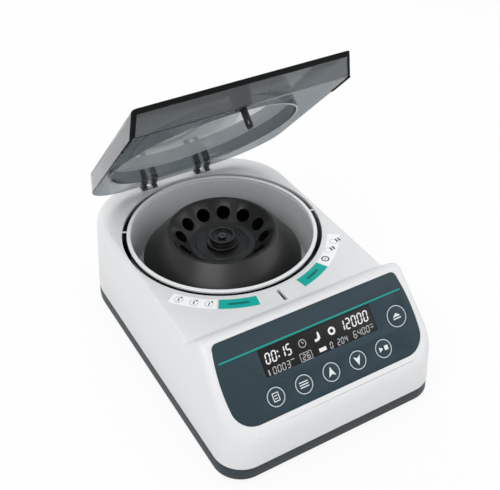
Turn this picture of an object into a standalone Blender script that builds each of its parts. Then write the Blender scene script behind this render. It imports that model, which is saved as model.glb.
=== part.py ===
# High-speed bench micro-centrifuge with its lid standing open.
# Metres, +Z up, origin on the bench under the middle of the housing, console towards -Y.
import math

import bmesh
import bpy
from mathutils import Euler, Matrix, Vector

# Fits and cuts
GAP = 0.0003
OVERRUN = 0.010
MERGE = 0.00001

# Rotor: its ring of sockets sets the radii of everything round it
SOCKETS = 12
SOCKET_RADIUS = 0.00565
SOCKET_CIRCLE = 0.0341
SOCKET_LENGTH = 0.0280
SOCKET_STEPS = 16
SOCKET_TO_MOUTH = 0.0094
SOCKET_TO_WELL = 0.0069
SOCKET_TO_SKIRT = 0.0324
MOUTH_RADIUS = SOCKET_CIRCLE + SOCKET_TO_MOUTH
WELL_RADIUS = SOCKET_CIRCLE - SOCKET_TO_WELL
SKIRT_RADIUS = SOCKET_CIRCLE + SOCKET_TO_SKIRT
MOUTH_LAND = 0.0020
MOUTH_RISE = 0.0003
WELL_DEPTH = 0.0140
SKIRT_DROP = 0.0244
ROTOR_DROP = 0.0360

# Knob and shaft
KNOB_RADIUS = 0.0113
KNOB_FLANGE_RADIUS = 0.0136
KNOB_WAIST_RADIUS = 0.0098
KNOB_HEIGHT = 0.0080
KNOB_FLANGE_HEIGHT = 0.0030
KNOB_RECESS_RADIUS = 0.0087
KNOB_RECESS = 0.0026
KNOB_STEPS = 32
CLAMP_SCREW_RADIUS = 0.0034
CLAMP_SCREW_HEIGHT = 0.0020
CLAMP_SOCKET_RADIUS = 0.0016
CLAMP_SOCKET_DEPTH = 0.0012
SHAFT_RADIUS = 0.0040
SHAFT_SEAT = 0.0160

# Chamber bowl, its rim and the guard ring under it
ROTOR_TO_BOWL = 0.0088
ROTOR_TO_FLOOR = 0.0080
RIM_WIDTH = 0.0033
RIM_TO_DECK = 0.0034
GUARD_INSET = 0.0153
BOWL_RADIUS = SKIRT_RADIUS + ROTOR_TO_BOWL
BOWL_DEPTH = ROTOR_DROP + ROTOR_TO_FLOOR
BOWL_WALL = 0.0018
BOWL_CORNER = 0.0040
BOWL_HOLE_RADIUS = 0.0090
RIM_OUTER_RADIUS = BOWL_RADIUS + RIM_WIDTH
RIM_HEIGHT = 0.0020
RIM_PROUD = 0.0005
DECK_HOLE_RADIUS = RIM_OUTER_RADIUS + RIM_TO_DECK
ROUND_STEPS = 72
GUARD_RADIUS = BOWL_RADIUS - GUARD_INSET
GUARD_WALL = 0.0025

# Motor and its mounting
PLATE_BELOW_BOWL = 0.0034
PLATE_THICKNESS = 0.0025
PLATE_SHARE = 1.4
PLATE_SIZE = GUARD_RADIUS * PLATE_SHARE
PLATE_CORNER = 0.0100
DAMPER_RADIUS = 0.0060
DAMPER_WAIST_RADIUS = 0.0042
DAMPER_INSET = 0.0090
MOTOR_RADIUS = 0.0280
MOTOR_HEIGHT = 0.0170
MOTOR_TO_FLOOR = 0.0040
MOTOR_BOSS_RADIUS = 0.0120
MOTOR_BOSS_HEIGHT = 0.0020
MOTOR_BORE = 0.0100

# Housing, sized from the chamber's hole in the deck and the stack of parts under it
FOOT_HEIGHT = 0.0042
STRIP_HEIGHT = 0.0110
TRAY_INSET = 0.0004
TRAY_FLOOR = 0.0025
SIDE_LAND = 0.0120
REAR_LAND = 0.0188
REAR_PROUD = 0.0017
SIDE_DRAFT = 0.0061
FRONT_DRAFT = 0.0010
FRONT_RADIUS = 0.0228
REAR_RADIUS = 0.0550
WALL = 0.0030
EDGE_ROUND = 0.0022
EDGE_STEPS = 2
CORNER_STEPS = 8
BODY_WIDTH = (DECK_HOLE_RADIUS + SIDE_LAND) * 2
BOWL_STACK = BOWL_DEPTH + BOWL_WALL + PLATE_BELOW_BOWL + PLATE_THICKNESS
BODY_HEIGHT = BOWL_STACK + GAP + MOTOR_HEIGHT + MOTOR_TO_FLOOR + GAP + TRAY_FLOOR

# Console and its panel; in the panel's frame -Y runs down the slope and +Z out of it
CONSOLE_TO_HOLE = 0.0212
CONSOLE_BACK_RUN = 0.0158
CREST_RISE = 0.0157
CREST_WIDTH = 0.0058
PANEL_TILT = math.radians(45.5)
PANEL_TOP_MARGIN = 0.0024
PANEL_LENGTH = 0.0628
PANEL_LOW_MARGIN = 0.0100
PANEL_TO_SIDE = 0.0155
PANEL_TOP_HALF = BODY_WIDTH / 2 - PANEL_TO_SIDE
PANEL_SPREAD = 0.0027
PANEL_BOW = 0.0015
PANEL_TOP_RADIUS = 0.0045
PANEL_LOW_RADIUS = 0.0175
PANEL_STEPS = 6
BOW_PEAK = 4
PANEL_THICKNESS = 0.0020
PANEL_SINK = 0.0002
PANEL_LEDGE = 0.0015
POST_RADIUS = 0.0025
POST_INSET = 0.0095
CONSOLE_TO_CHAMBER = DECK_HOLE_RADIUS + CONSOLE_TO_HOLE
SLOPE_RUN = (PANEL_TOP_MARGIN + PANEL_LENGTH + PANEL_LOW_MARGIN) * math.cos(PANEL_TILT)
CHAMBER_TO_FRONT = CONSOLE_TO_CHAMBER + CONSOLE_BACK_RUN + CREST_WIDTH + SLOPE_RUN
BODY_DEPTH = CHAMBER_TO_FRONT + DECK_HOLE_RADIUS + REAR_LAND

# Keys
KEY_RADIUS = 0.0073
KEY_TO_EDGE = 0.0129
KEY_ROW = PANEL_LENGTH - KEY_TO_EDGE
OPEN_KEY_RADIUS = 0.0086
OPEN_KEY_TO_EDGE = 0.0309
OPEN_KEY_ROW = PANEL_LENGTH - OPEN_KEY_TO_EDGE
OPEN_KEY_TO_SIDE = 0.0120
OPEN_KEY_X = PANEL_TOP_HALF - OPEN_KEY_TO_SIDE
LAST_KEY_TO_OPEN = 0.0201
KEY_PITCH = (OPEN_KEY_X - LAST_KEY_TO_OPEN) / 2
KEY_TRAVEL = 0.0006
KEY_FLANGE = 0.0008
KEY_FLANGE_HEIGHT = 0.0010
KEY_STEM_RADIUS = 0.0020
KEY_STEPS = 24

# Display and the board behind the panel
WINDOW_TO_OPEN_KEY = 0.0188
WINDOW_HALF = OPEN_KEY_X - WINDOW_TO_OPEN_KEY
WINDOW_TOP_SHARE = 0.2468
WINDOW_TOP = PANEL_LENGTH * WINDOW_TOP_SHARE
WINDOW_HEIGHT_SHARE = 0.3153
WINDOW_HEIGHT = PANEL_LENGTH * WINDOW_HEIGHT_SHARE
MODULE_THICKNESS = 0.0050
MODULE_MARGIN = 0.0010
BOARD_THICKNESS = 0.0016
BOARD_MARGIN = 0.0095
BOARD_HALF = PANEL_TOP_HALF - BOARD_MARGIN
BOARD_TO_EDGE = 0.0034
BOARD_HEIGHT = PANEL_LENGTH - BOARD_TO_EDGE * 2

# Feet, pillars and case screws
FOOT_RADIUS = 0.0090
FOOT_TO_SIDE = 0.0240
FOOT_TO_FRONT = 0.0320
FOOT_TO_REAR = 0.0603
PILLAR_RADIUS = 0.0048
PILLAR_FRONT_TO_SIDE = 0.0160
PILLAR_TO_FRONT = 0.0800
PILLAR_REAR_TO_SIDE = 0.0280
PILLAR_TO_REAR = 0.0348
SCREW_RADIUS = 0.0015
SCREW_LENGTH = 0.0140
SCREW_HEAD_RADIUS = 0.0032
SCREW_HEAD_HEIGHT = 0.0020

# Power parts in the tray under the console
SUPPLY_SIZE = Vector((0.0620, 0.0420, 0.0300))
SUPPLY_TO_SIDE = 0.0480
SUPPLY_TO_FRONT = 0.0520
SUPPLY_ROUND = 0.0020
DRIVE_SIZE = Vector((0.0560, 0.0440, 0.0016))
DRIVE_TO_SIDE = 0.0500
DRIVE_STAND = 0.0080
DRIVE_STAND_RADIUS = 0.0030
DRIVE_SINK_SIZE = Vector((0.0360, 0.0160, 0.0120))

# Rear inlet, switch and vents
INLET_X = 0.0200
ROW_TO_SEAM = 0.0178
INLET_SIZE = Vector((0.0270, 0.0170, 0.0195))
FLANGE_MARGIN = 0.0026
INLET_CAVITY = Vector((0.0236, 0.0120, 0.0160))
PIN_SIZE = Vector((0.0020, 0.0085, 0.0040))
PIN_PITCH = 0.0070
SWITCH_X = -0.0200
SWITCH_SIZE = Vector((0.0130, 0.0120, 0.0190))
SWITCH_LIP = 0.0013
ROCKER_TILT = math.radians(8.0)
ROCKER_THICKNESS = 0.0060
ROCKER_SETBACK = 0.0052
VENTS = 7
VENT_PITCH = 0.0070
VENT_WIDTH = 0.0026
VENT_HEIGHT = 0.0140
VENT_TO_DECK = 0.0200

# Lid, described closed, heights from the deck and lengths from the chamber axis
LID_OPEN = math.radians(46.2)
HINGE_TO_HOLE = 0.0045
HINGE_BACK = DECK_HOLE_RADIUS + HINGE_TO_HOLE
HINGE_SINK = 0.0012
LID_RIM = 0.0011
LID_TOP = 0.0156
LID_TO_SIDE = 0.0055
LID_SIDE_LEAN = 0.0032
LID_TO_CONSOLE = 0.0014
LID_FRONT_LEAN = 0.0159
LID_TO_HINGE = 0.0040
LID_HALF_LOW = BODY_WIDTH / 2 - LID_TO_SIDE
LID_HALF_TOP = LID_HALF_LOW - LID_SIDE_LEAN
LID_FRONT_LOW = CONSOLE_TO_CHAMBER - LID_TO_CONSOLE
LID_FRONT_TOP = LID_FRONT_LOW + LID_FRONT_LEAN
LID_REAR_LOW = HINGE_BACK - LID_TO_HINGE
LID_REAR_TOP = LID_REAR_LOW - LID_SIDE_LEAN
LID_FRONT_RADIUS = 0.0035
LID_REAR_RADIUS = 0.0500
LID_WALL = 0.0025
TRIM_HEIGHT = 0.0050
TRIM_END = 0.0026
TRIM_THICKNESS = 0.0008
RING_TO_BOWL = 0.0028
RING_RADIUS = BOWL_RADIUS - RING_TO_BOWL
RING_WALL = 0.0020
RING_CLEAR = 0.0022

# Hinges
HINGE_X = 0.0262
LUG_THICKNESS = 0.0040
LUG_SPACING = 0.0096
LUG_EYE_RADIUS = 0.0033
LUG_ROOT = 0.0045
LUG_STEPS = 12
PIN_RADIUS = 0.0014
SIDE_PLAY = 0.0006
POCKET_HALF = 0.0042
BRACKET_HALF = 0.0110
BRACKET_DROP = 0.0065

# Latch on the lid and lock under the deck
HOOK_TO_HOLE = 0.0116
HOOK_BACK = DECK_HOLE_RADIUS + HOOK_TO_HOLE
HOOK_LENGTH = 0.0080
HOOK_THICKNESS = 0.0018
HOOK_REACH = 0.0135
HOOK_BURIED = 0.0060
MOUNT_HALF = 0.0045
MOUNT_LENGTH = 0.0124
MOUNT_HEIGHT = 0.0088
SLOT_WIDTH = 0.0028
SLOT_LENGTH = 0.0122
BOLT_RADIUS = 0.0020
BOLT_LENGTH = 0.0180
BOLT_DROP = 0.0090
BOLT_CLEAR = 0.0022
LOCK_SIZE = Vector((0.0240, 0.0150, 0.0135))
LOCK_NEAR = 0.0036

# Derived places
FRONT_Y = -(BODY_DEPTH + REAR_PROUD) / 2
REAR_Y = FRONT_Y + BODY_DEPTH
CHAMBER_Y = FRONT_Y + CHAMBER_TO_FRONT
DECK_Z = FOOT_HEIGHT + BODY_HEIGHT
SEAM_Z = FOOT_HEIGHT + STRIP_HEIGHT
FLOOR_Z = FOOT_HEIGHT + TRAY_FLOOR + GAP
CREST_Z = DECK_Z + CREST_RISE
CONSOLE_FOOT_Y = CHAMBER_Y - CONSOLE_TO_CHAMBER
CREST_BACK_Y = CONSOLE_FOOT_Y - CONSOLE_BACK_RUN
CREST_FRONT_Y = CREST_BACK_Y - CREST_WIDTH
FOOT_X = BODY_WIDTH / 2 - FOOT_TO_SIDE
FOOT_FRONT_Y = FRONT_Y + FOOT_TO_FRONT
FOOT_REAR_Y = REAR_Y - FOOT_TO_REAR
PILLAR_FRONT_X = BODY_WIDTH / 2 - PILLAR_FRONT_TO_SIDE
PILLAR_FRONT_Y = FRONT_Y + PILLAR_TO_FRONT
PILLAR_REAR_X = BODY_WIDTH / 2 - PILLAR_REAR_TO_SIDE
PILLAR_REAR_Y = REAR_Y - PILLAR_TO_REAR
SUPPLY_X = SUPPLY_TO_SIDE - BODY_WIDTH / 2
SUPPLY_Y = FRONT_Y + SUPPLY_TO_FRONT
DRIVE_X = BODY_WIDTH / 2 - DRIVE_TO_SIDE
REAR_ROW_Z = SEAM_Z + ROW_TO_SEAM
VENT_Z = DECK_Z - VENT_TO_DECK
BOWL_BOTTOM_Z = DECK_Z - BOWL_DEPTH - BOWL_WALL
PLATE_TOP_Z = BOWL_BOTTOM_Z - PLATE_BELOW_BOWL
PLATE_LOW_Z = PLATE_TOP_Z - PLATE_THICKNESS
HINGE_Y = CHAMBER_Y + HINGE_BACK
HINGE_Z = DECK_Z - HINGE_SINK

# Colours, roughness and metallic value of each finish
FINISHES = {
    "white_shell": ((0.77, 0.78, 0.77), 0.38, 0.0),
    "slate_plastic": ((0.055, 0.068, 0.080), 0.50, 0.0),
    "panel_film": ((0.035, 0.062, 0.080), 0.32, 0.0),
    "window_black": ((0.010, 0.010, 0.011), 0.12, 0.0),
    "key_film": ((0.040, 0.070, 0.090), 0.34, 0.0),
    "board_green": ((0.020, 0.110, 0.050), 0.50, 0.0),
    "bowl_grey": ((0.260, 0.270, 0.270), 0.36, 0.6),
    "rim_white": ((0.80, 0.80, 0.79), 0.30, 0.0),
    "rotor_black": ((0.018, 0.018, 0.020), 0.42, 0.3),
    "steel": ((0.55, 0.56, 0.57), 0.30, 1.0),
    "aluminium": ((0.62, 0.63, 0.64), 0.40, 1.0),
    "rubber": ((0.015, 0.015, 0.016), 0.75, 0.0),
    "black_plastic": ((0.016, 0.016, 0.018), 0.45, 0.0),
    "smoke": ((0.150, 0.170, 0.180), 0.15, 0.0),
}


def clear_scene():
    for obj in list(bpy.data.objects):
        bpy.data.objects.remove(obj, do_unlink=True)


def make_collection(name):
    collection = bpy.data.collections.new(name)
    bpy.context.scene.collection.children.link(collection)
    return collection


def make_material(name, finish):
    colour, roughness, metallic = FINISHES[finish]
    material = bpy.data.materials.new(name)
    material.use_nodes = True
    shader = material.node_tree.nodes["Principled BSDF"]
    shader.inputs["Base Color"].default_value = (*colour, 1)
    shader.inputs["Roughness"].default_value = roughness
    shader.inputs["Metallic"].default_value = metallic
    return material


clear_scene()
PARTS = make_collection("high_speed_centrifuge")
CUTTERS = make_collection("cutters")


def add_object(name, mesh, finish, parent=None):
    """Put a mesh in the scene as a part, or as a cutter where it has no finish."""
    obj = bpy.data.objects.new(name, mesh)
    if finish is None:
        CUTTERS.objects.link(obj)
        obj.hide_render = True
        obj.display_type = "WIRE"
    else:
        PARTS.objects.link(obj)
        mesh.materials.append(make_material(name, finish))
        mesh.shade_smooth()
        mesh.set_sharp_from_angle(angle=math.radians(30))
    obj.parent = parent
    return obj


def mesh_from(bm, name):
    bmesh.ops.recalc_face_normals(bm, faces=bm.faces)
    mesh = bpy.data.meshes.new(name)
    bm.to_mesh(mesh)
    bm.free()
    return mesh


def box(name, size, centre, finish=None, parent=None):
    bm = bmesh.new()
    bmesh.ops.create_cube(bm, size=1, matrix=Matrix.Diagonal((*size, 1)))
    obj = add_object(name, mesh_from(bm, name), finish, parent)
    obj.location = centre
    return obj


def cylinders(name, radius, length, places, steps, finish=None, parent=None):
    """Closed cylinders, one at each matrix, each running from its origin along +Z."""
    bm = bmesh.new()
    lift = Matrix.Translation((0, 0, length / 2))
    for place in places:
        bmesh.ops.create_cone(bm, cap_ends=True, segments=steps, radius1=radius,
                              radius2=radius, depth=length, matrix=place @ lift)
    return add_object(name, mesh_from(bm, name), finish, parent)


def turned(name, profile, centre, steps, finish=None, parent=None, ring=False):
    """A profile of (radius, height) points, outer side downwards, turned about its Z axis."""
    mesh = bpy.data.meshes.new(name)
    edges = [(i, i + 1) for i in range(len(profile) - 1)]
    if ring:
        edges.append((len(profile) - 1, 0))
    mesh.from_pydata([(r, 0, z) for r, z in profile], edges, [])
    obj = add_object(name, mesh, finish, parent)
    obj.location = centre
    screw = obj.modifiers.new("turn", "SCREW")
    screw.steps = screw.render_steps = steps
    screw.use_merge_vertices = True
    screw.merge_threshold = MERGE
    screw.use_smooth_shade = True
    return obj


def plate(name, outline, thickness, finish=None, parent=None):
    """A flat outline in its own XY plane, given a thickness centred on that plane."""
    curve = bpy.data.curves.new(name, "CURVE")
    curve.dimensions = "2D"
    curve.fill_mode = "BOTH"
    curve.extrude = thickness / 2
    spline = curve.splines.new("POLY")
    spline.points.add(len(outline) - 1)
    for point, (x, y) in zip(spline.points, outline):
        point.co = (x, y, 0, 1)
    spline.use_cyclic_u = True
    flat = bpy.data.objects.new(name, curve)
    bpy.context.scene.collection.objects.link(flat)
    bpy.context.view_layer.update()
    depsgraph = bpy.context.evaluated_depsgraph_get()
    bm = bmesh.new()
    evaluated = bpy.data.meshes.new_from_object(flat.evaluated_get(depsgraph))
    bm.from_mesh(evaluated)
    bmesh.ops.remove_doubles(bm, verts=bm.verts, dist=MERGE)
    bpy.data.objects.remove(flat, do_unlink=True)
    return add_object(name, mesh_from(bm, name), finish, parent)


def loft(name, rings, finish=None, parent=None):
    """A closed skin through outlines that hold the same number of points."""
    bm = bmesh.new()
    rows = [[bm.verts.new(point) for point in ring] for ring in rings]
    count = len(rings[0])
    for low, high in zip(rows, rows[1:]):
        for i in range(count):
            j = (i + 1) % count
            bm.faces.new((low[i], low[j], high[j], high[i]))
    bm.faces.new(rows[0][::-1])
    bm.faces.new(rows[-1])
    return add_object(name, mesh_from(bm, name), finish, parent)


def combine(target, tool, operation="DIFFERENCE"):
    modifier = target.modifiers.new(tool.name, "BOOLEAN")
    modifier.operation = operation
    modifier.object = tool
    return modifier


def bevel(target, width, steps):
    modifier = target.modifiers.new("edge_round", "BEVEL")
    modifier.width = width
    modifier.segments = steps
    modifier.limit_method = "ANGLE"
    modifier.angle_limit = math.radians(30)
    return modifier


def arc(centre_x, centre_y, radius, start, sweep, steps):
    angles = [math.radians(start + sweep * i / steps) for i in range(steps + 1)]
    return [(centre_x + radius * math.cos(a), centre_y + radius * math.sin(a)) for a in angles]


def rounded_outline(half, front, rear, front_radius, rear_radius, steps=CORNER_STEPS):
    """Outline seen from above, anticlockwise from its front right corner."""
    points = arc(half - front_radius, front + front_radius, front_radius, -90, 90, steps)
    points += arc(half - rear_radius, rear - rear_radius, rear_radius, 0, 90, steps)
    points += arc(rear_radius - half, rear - rear_radius, rear_radius, 90, 90, steps)
    points += arc(front_radius - half, front + front_radius, front_radius, 180, 90, steps)
    return points


def rounded_plate_outline(width, depth, radius, steps=4):
    return rounded_outline(width / 2, -depth / 2, depth / 2, radius, radius, steps)


def offset_outline(points, distance):
    """Move every side of a clockwise outline inwards by one distance."""
    moved = []
    count = len(points)
    for i in range(count):
        before, here, after = (Vector(points[k % count]) for k in (i - 1, i, i + 1))
        first = (here - before).normalized()
        second = (after - here).normalized()
        normal_one = Vector((first.y, -first.x))
        normal_two = Vector((second.y, -second.x))
        bisector = normal_one + normal_two
        moved.append(here + bisector * distance / (1 + normal_one.dot(normal_two)))
    return moved


# Housing: drafted outline seen from above, cut to the side profile

def housing_profile(low):
    """Side view as (y, z), clockwise from the lower front."""
    front = FRONT_Y - OVERRUN
    rear = REAR_Y + OVERRUN
    slope_foot = CREST_Z - (CREST_FRONT_Y - front) * math.tan(PANEL_TILT)
    return [(front, min(low, slope_foot - OVERRUN)), (front, slope_foot), (CREST_FRONT_Y, CREST_Z),
            (CREST_BACK_Y, CREST_Z), (CONSOLE_FOOT_Y, DECK_Z), (rear, DECK_Z),
            (rear, min(low, slope_foot - OVERRUN))]


def housing_ring(z, inset):
    share = (z - FOOT_HEIGHT) / BODY_HEIGHT
    outline = rounded_outline(BODY_WIDTH / 2 - SIDE_DRAFT * share - inset,
                              FRONT_Y + FRONT_DRAFT * share + inset, REAR_Y - inset,
                              FRONT_RADIUS - inset, REAR_RADIUS - inset)
    return [(x, y, z) for x, y in outline]


def housing_block(name, inset, low, finish=None):
    """The whole outer form, or the same form drawn in by one wall."""
    block = loft(name, [housing_ring(low, inset), housing_ring(CREST_Z + OVERRUN, inset)], finish)
    profile = offset_outline(housing_profile(low), inset)
    side = plate(name + "_side", profile, BODY_WIDTH + OVERRUN)
    side.rotation_euler = (math.radians(90), 0, math.radians(90))
    combine(block, side, "INTERSECT")
    return block


def trim_below(target, height, name):
    depth = FOOT_HEIGHT + STRIP_HEIGHT + OVERRUN * 2
    cutter = box(name, (BODY_WIDTH + OVERRUN, BODY_DEPTH * 2, depth), (0, 0, height - depth / 2))
    combine(target, cutter)


def upright(x, y, z):
    return Matrix.Translation((x, y, z))


PILLARS = [(side * x, y) for x, y in ((PILLAR_FRONT_X, PILLAR_FRONT_Y), (PILLAR_REAR_X, PILLAR_REAR_Y))
           for side in (-1, 1)]


def make_upper_shell():
    shell = housing_block("upper_shell", 0, -OVERRUN, "white_shell")
    bevel(shell, EDGE_ROUND, EDGE_STEPS)
    inner = housing_block("shell_hollow", WALL, -OVERRUN * 2)
    combine(shell, inner)
    trim_below(shell, SEAM_Z, "shell_foot_trim")
    pillar_length = DECK_Z - WALL / 2 - FLOOR_Z
    places = [upright(x, y, FLOOR_Z) for x, y in PILLARS]
    combine(shell, cylinders("pillars", PILLAR_RADIUS, pillar_length, places, KEY_STEPS // 2), "UNION")
    holes = [upright(x, y, FLOOR_Z - OVERRUN) for x, y in PILLARS]
    bore = SCREW_RADIUS + GAP
    combine(shell, cylinders("pillar_bores", bore, OVERRUN + SCREW_LENGTH, holes, 12))
    hole = upright(0, CHAMBER_Y, DECK_Z - OVERRUN)
    combine(shell, cylinders("deck_hole", DECK_HOLE_RADIUS, OVERRUN * 2, [hole], ROUND_STEPS))
    return shell


def make_base_tray():
    inset = TRAY_INSET
    rings = [housing_ring(FOOT_HEIGHT, inset), housing_ring(SEAM_Z - GAP, inset)]
    tray = loft("base_tray", rings, "slate_plastic")
    floor = FOOT_HEIGHT + TRAY_FLOOR
    hollow = loft("tray_hollow", [housing_ring(floor, inset + WALL),
                                  housing_ring(SEAM_Z + OVERRUN, inset + WALL)])
    combine(tray, hollow)
    holes = [upright(x, y, 0) for x, y in PILLARS]
    combine(tray, cylinders("screw_holes", SCREW_RADIUS + GAP, SEAM_Z, holes, 12))
    return tray


def make_feet_and_screws():
    spots = [(side * FOOT_X, y) for y in (FOOT_FRONT_Y, FOOT_REAR_Y) for side in (-1, 1)]
    chamfer = FOOT_HEIGHT / 4
    profile = [(0, FOOT_HEIGHT - GAP), (FOOT_RADIUS, FOOT_HEIGHT - GAP), (FOOT_RADIUS, chamfer),
               (FOOT_RADIUS - chamfer, 0), (0, 0)]
    for number, (x, y) in enumerate(spots, 1):
        turned(f"foot_{number}", profile, (x, y, 0), KEY_STEPS, "rubber")
    head = FOOT_HEIGHT - GAP
    profile = [(0, head + SCREW_LENGTH), (SCREW_RADIUS, head + SCREW_LENGTH), (SCREW_RADIUS, head),
               (SCREW_HEAD_RADIUS, head), (SCREW_HEAD_RADIUS, head - SCREW_HEAD_HEIGHT),
               (0, head - SCREW_HEAD_HEIGHT)]
    for number, (x, y) in enumerate(PILLARS, 1):
        turned(f"case_screw_{number}", profile, (x, y, 0), 12, "steel")


# Control panel and what it carries, in the frame of the console's slope

def make_panel_frame():
    frame = bpy.data.objects.new("panel_frame", None)
    PARTS.objects.link(frame)
    down = Vector((0, -math.cos(PANEL_TILT), -math.sin(PANEL_TILT)))
    frame.location = Vector((0, CREST_FRONT_Y, CREST_Z)) + down * PANEL_TOP_MARGIN
    frame.rotation_euler = (PANEL_TILT, 0, 0)
    return frame


def panel_outline(grow):
    """Sides spread and bow out towards the bottom, where the corners are wide arcs."""
    half, low = PANEL_TOP_HALF + grow, PANEL_LENGTH + grow
    top_radius, low_radius = PANEL_TOP_RADIUS + grow, PANEL_LOW_RADIUS + grow
    low_half = half + PANEL_SPREAD
    right = arc(low_half - low_radius, low_radius - low, low_radius, -90, 80, PANEL_STEPS)
    start = low_radius - low
    for step in range(1, PANEL_STEPS):
        share = step / PANEL_STEPS
        y = start + (grow - top_radius - start) * share
        bow = PANEL_BOW * BOW_PEAK * share * (1 - share)
        right.append((low_half - PANEL_SPREAD * share + bow, y))
    right += arc(half - top_radius, grow - top_radius, top_radius, 0, 90, PANEL_STEPS)
    return right + [(-x, y) for x, y in reversed(right)]


KEY_PLACES = [
    ("key_program", -2 * KEY_PITCH, KEY_ROW, KEY_RADIUS),
    ("key_menu", -KEY_PITCH, KEY_ROW, KEY_RADIUS),
    ("key_up", 0, KEY_ROW, KEY_RADIUS),
    ("key_down", KEY_PITCH, KEY_ROW, KEY_RADIUS),
    ("key_start_stop", 2 * KEY_PITCH, KEY_ROW, KEY_RADIUS),
    ("key_open", OPEN_KEY_X, OPEN_KEY_ROW, OPEN_KEY_RADIUS),
]
MODULE_TOP = PANEL_SINK + PANEL_THICKNESS + GAP
BOARD_TOP = MODULE_TOP + MODULE_THICKNESS + GAP


def cut_panel_seat(shell, frame):
    seat_depth = PANEL_SINK + PANEL_THICKNESS + GAP
    seat = plate("panel_seat", panel_outline(GAP), seat_depth * 2, None, frame)
    combine(shell, seat)
    opening = plate("panel_opening", panel_outline(-PANEL_LEDGE), OVERRUN * 2, None, frame)
    combine(shell, opening)


def make_control_panel(frame):
    panel = plate("control_panel", panel_outline(0), PANEL_THICKNESS, "panel_film", frame)
    panel.location.z = -PANEL_SINK - PANEL_THICKNESS / 2
    window_y = -WINDOW_TOP - WINDOW_HEIGHT / 2
    combine(panel, box("window_hole", (WINDOW_HALF * 2, WINDOW_HEIGHT, OVERRUN),
                       (0, window_y, 0), None, frame))
    for name, x, row, radius in KEY_PLACES:
        place = Matrix.Translation((x, -row, -OVERRUN / 2))
        hole = cylinders(name + "_hole", radius + GAP, OVERRUN, [place], KEY_STEPS, None, frame)
        combine(panel, hole)
    post_length = BOARD_TOP - GAP - PANEL_SINK - PANEL_THICKNESS / 2
    post_x = BOARD_HALF - POST_RADIUS
    posts = [Matrix.Translation((side * post_x, y, GAP - BOARD_TOP)) for side in (-1, 1)
             for y in (-POST_INSET, POST_INSET - PANEL_LENGTH + POST_RADIUS)]
    combine(panel, cylinders("panel_posts", POST_RADIUS, post_length, posts, 12, None, frame), "UNION")


def make_display(frame):
    window_y = -WINDOW_TOP - WINDOW_HEIGHT / 2
    size = (WINDOW_HALF * 2 - GAP * 2, WINDOW_HEIGHT - GAP * 2, PANEL_THICKNESS)
    window = box("display_window", size, (0, window_y, -PANEL_SINK - PANEL_THICKNESS / 2),
                 "window_black", frame)
    bevel(window, GAP, 1)
    margin = MODULE_MARGIN * 2
    size = (WINDOW_HALF * 2 + margin, WINDOW_HEIGHT + margin, MODULE_THICKNESS)
    module = box("display_module", size, (0, window_y, -MODULE_TOP - MODULE_THICKNESS / 2),
                 "black_plastic", frame)
    bevel(module, GAP, 1)
    outline = rounded_plate_outline(BOARD_HALF * 2, BOARD_HEIGHT, POST_RADIUS)
    board = plate("panel_board", outline, BOARD_THICKNESS, "board_green", frame)
    board.location = (0, -PANEL_LENGTH / 2, -BOARD_TOP - BOARD_THICKNESS / 2)


def make_keys(frame):
    """Each key is a cap in the panel's hole with a flange behind it that keeps it in."""
    flange_top = -WALL - GAP
    flange_low = flange_top - KEY_FLANGE_HEIGHT
    foot = GAP + KEY_TRAVEL - BOARD_TOP
    for name, x, row, radius in KEY_PLACES:
        flange = radius + GAP + KEY_FLANGE
        profile = [(0, 0), (radius - GAP, 0), (radius, -GAP), (radius, flange_top),
                   (flange, flange_top), (flange, flange_low), (KEY_STEM_RADIUS, flange_low),
                   (KEY_STEM_RADIUS, foot), (0, foot)]
        turned(name, profile, (x, -row, 0), KEY_STEPS, "key_film", frame)


# Chamber

def make_chamber():
    centre = (0, CHAMBER_Y, DECK_Z)
    top = RIM_PROUD - RIM_HEIGHT
    outer = BOWL_RADIUS + BOWL_WALL
    floor = -BOWL_DEPTH
    low = floor - BOWL_WALL
    profile = [(BOWL_RADIUS, top - GAP), (RIM_OUTER_RADIUS, top - GAP),
               (RIM_OUTER_RADIUS, top - GAP - BOWL_WALL), (outer, top - GAP - BOWL_WALL),
               (outer, floor + BOWL_CORNER), (outer - BOWL_CORNER, low), (BOWL_HOLE_RADIUS, low),
               (BOWL_HOLE_RADIUS, floor), (BOWL_RADIUS - BOWL_CORNER, floor),
               (BOWL_RADIUS, floor + BOWL_CORNER)]
    turned("chamber_bowl", profile, centre, ROUND_STEPS, "bowl_grey", ring=True)
    chamfer = RIM_PROUD
    profile = [(BOWL_RADIUS, RIM_PROUD - chamfer), (BOWL_RADIUS + chamfer, RIM_PROUD),
               (RIM_OUTER_RADIUS - chamfer, RIM_PROUD), (RIM_OUTER_RADIUS, RIM_PROUD - chamfer),
               (RIM_OUTER_RADIUS, top), (BOWL_RADIUS, top)]
    turned("bowl_rim", profile, centre, ROUND_STEPS, "rim_white", ring=True)
    outer = GUARD_RADIUS + GUARD_WALL
    profile = [(GUARD_RADIUS, BOWL_BOTTOM_Z - GAP), (outer, BOWL_BOTTOM_Z - GAP), (outer, FLOOR_Z),
               (GUARD_RADIUS, FLOOR_Z)]
    turned("guard_ring", profile, (0, CHAMBER_Y, 0), ROUND_STEPS // 2, "steel", ring=True)


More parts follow.
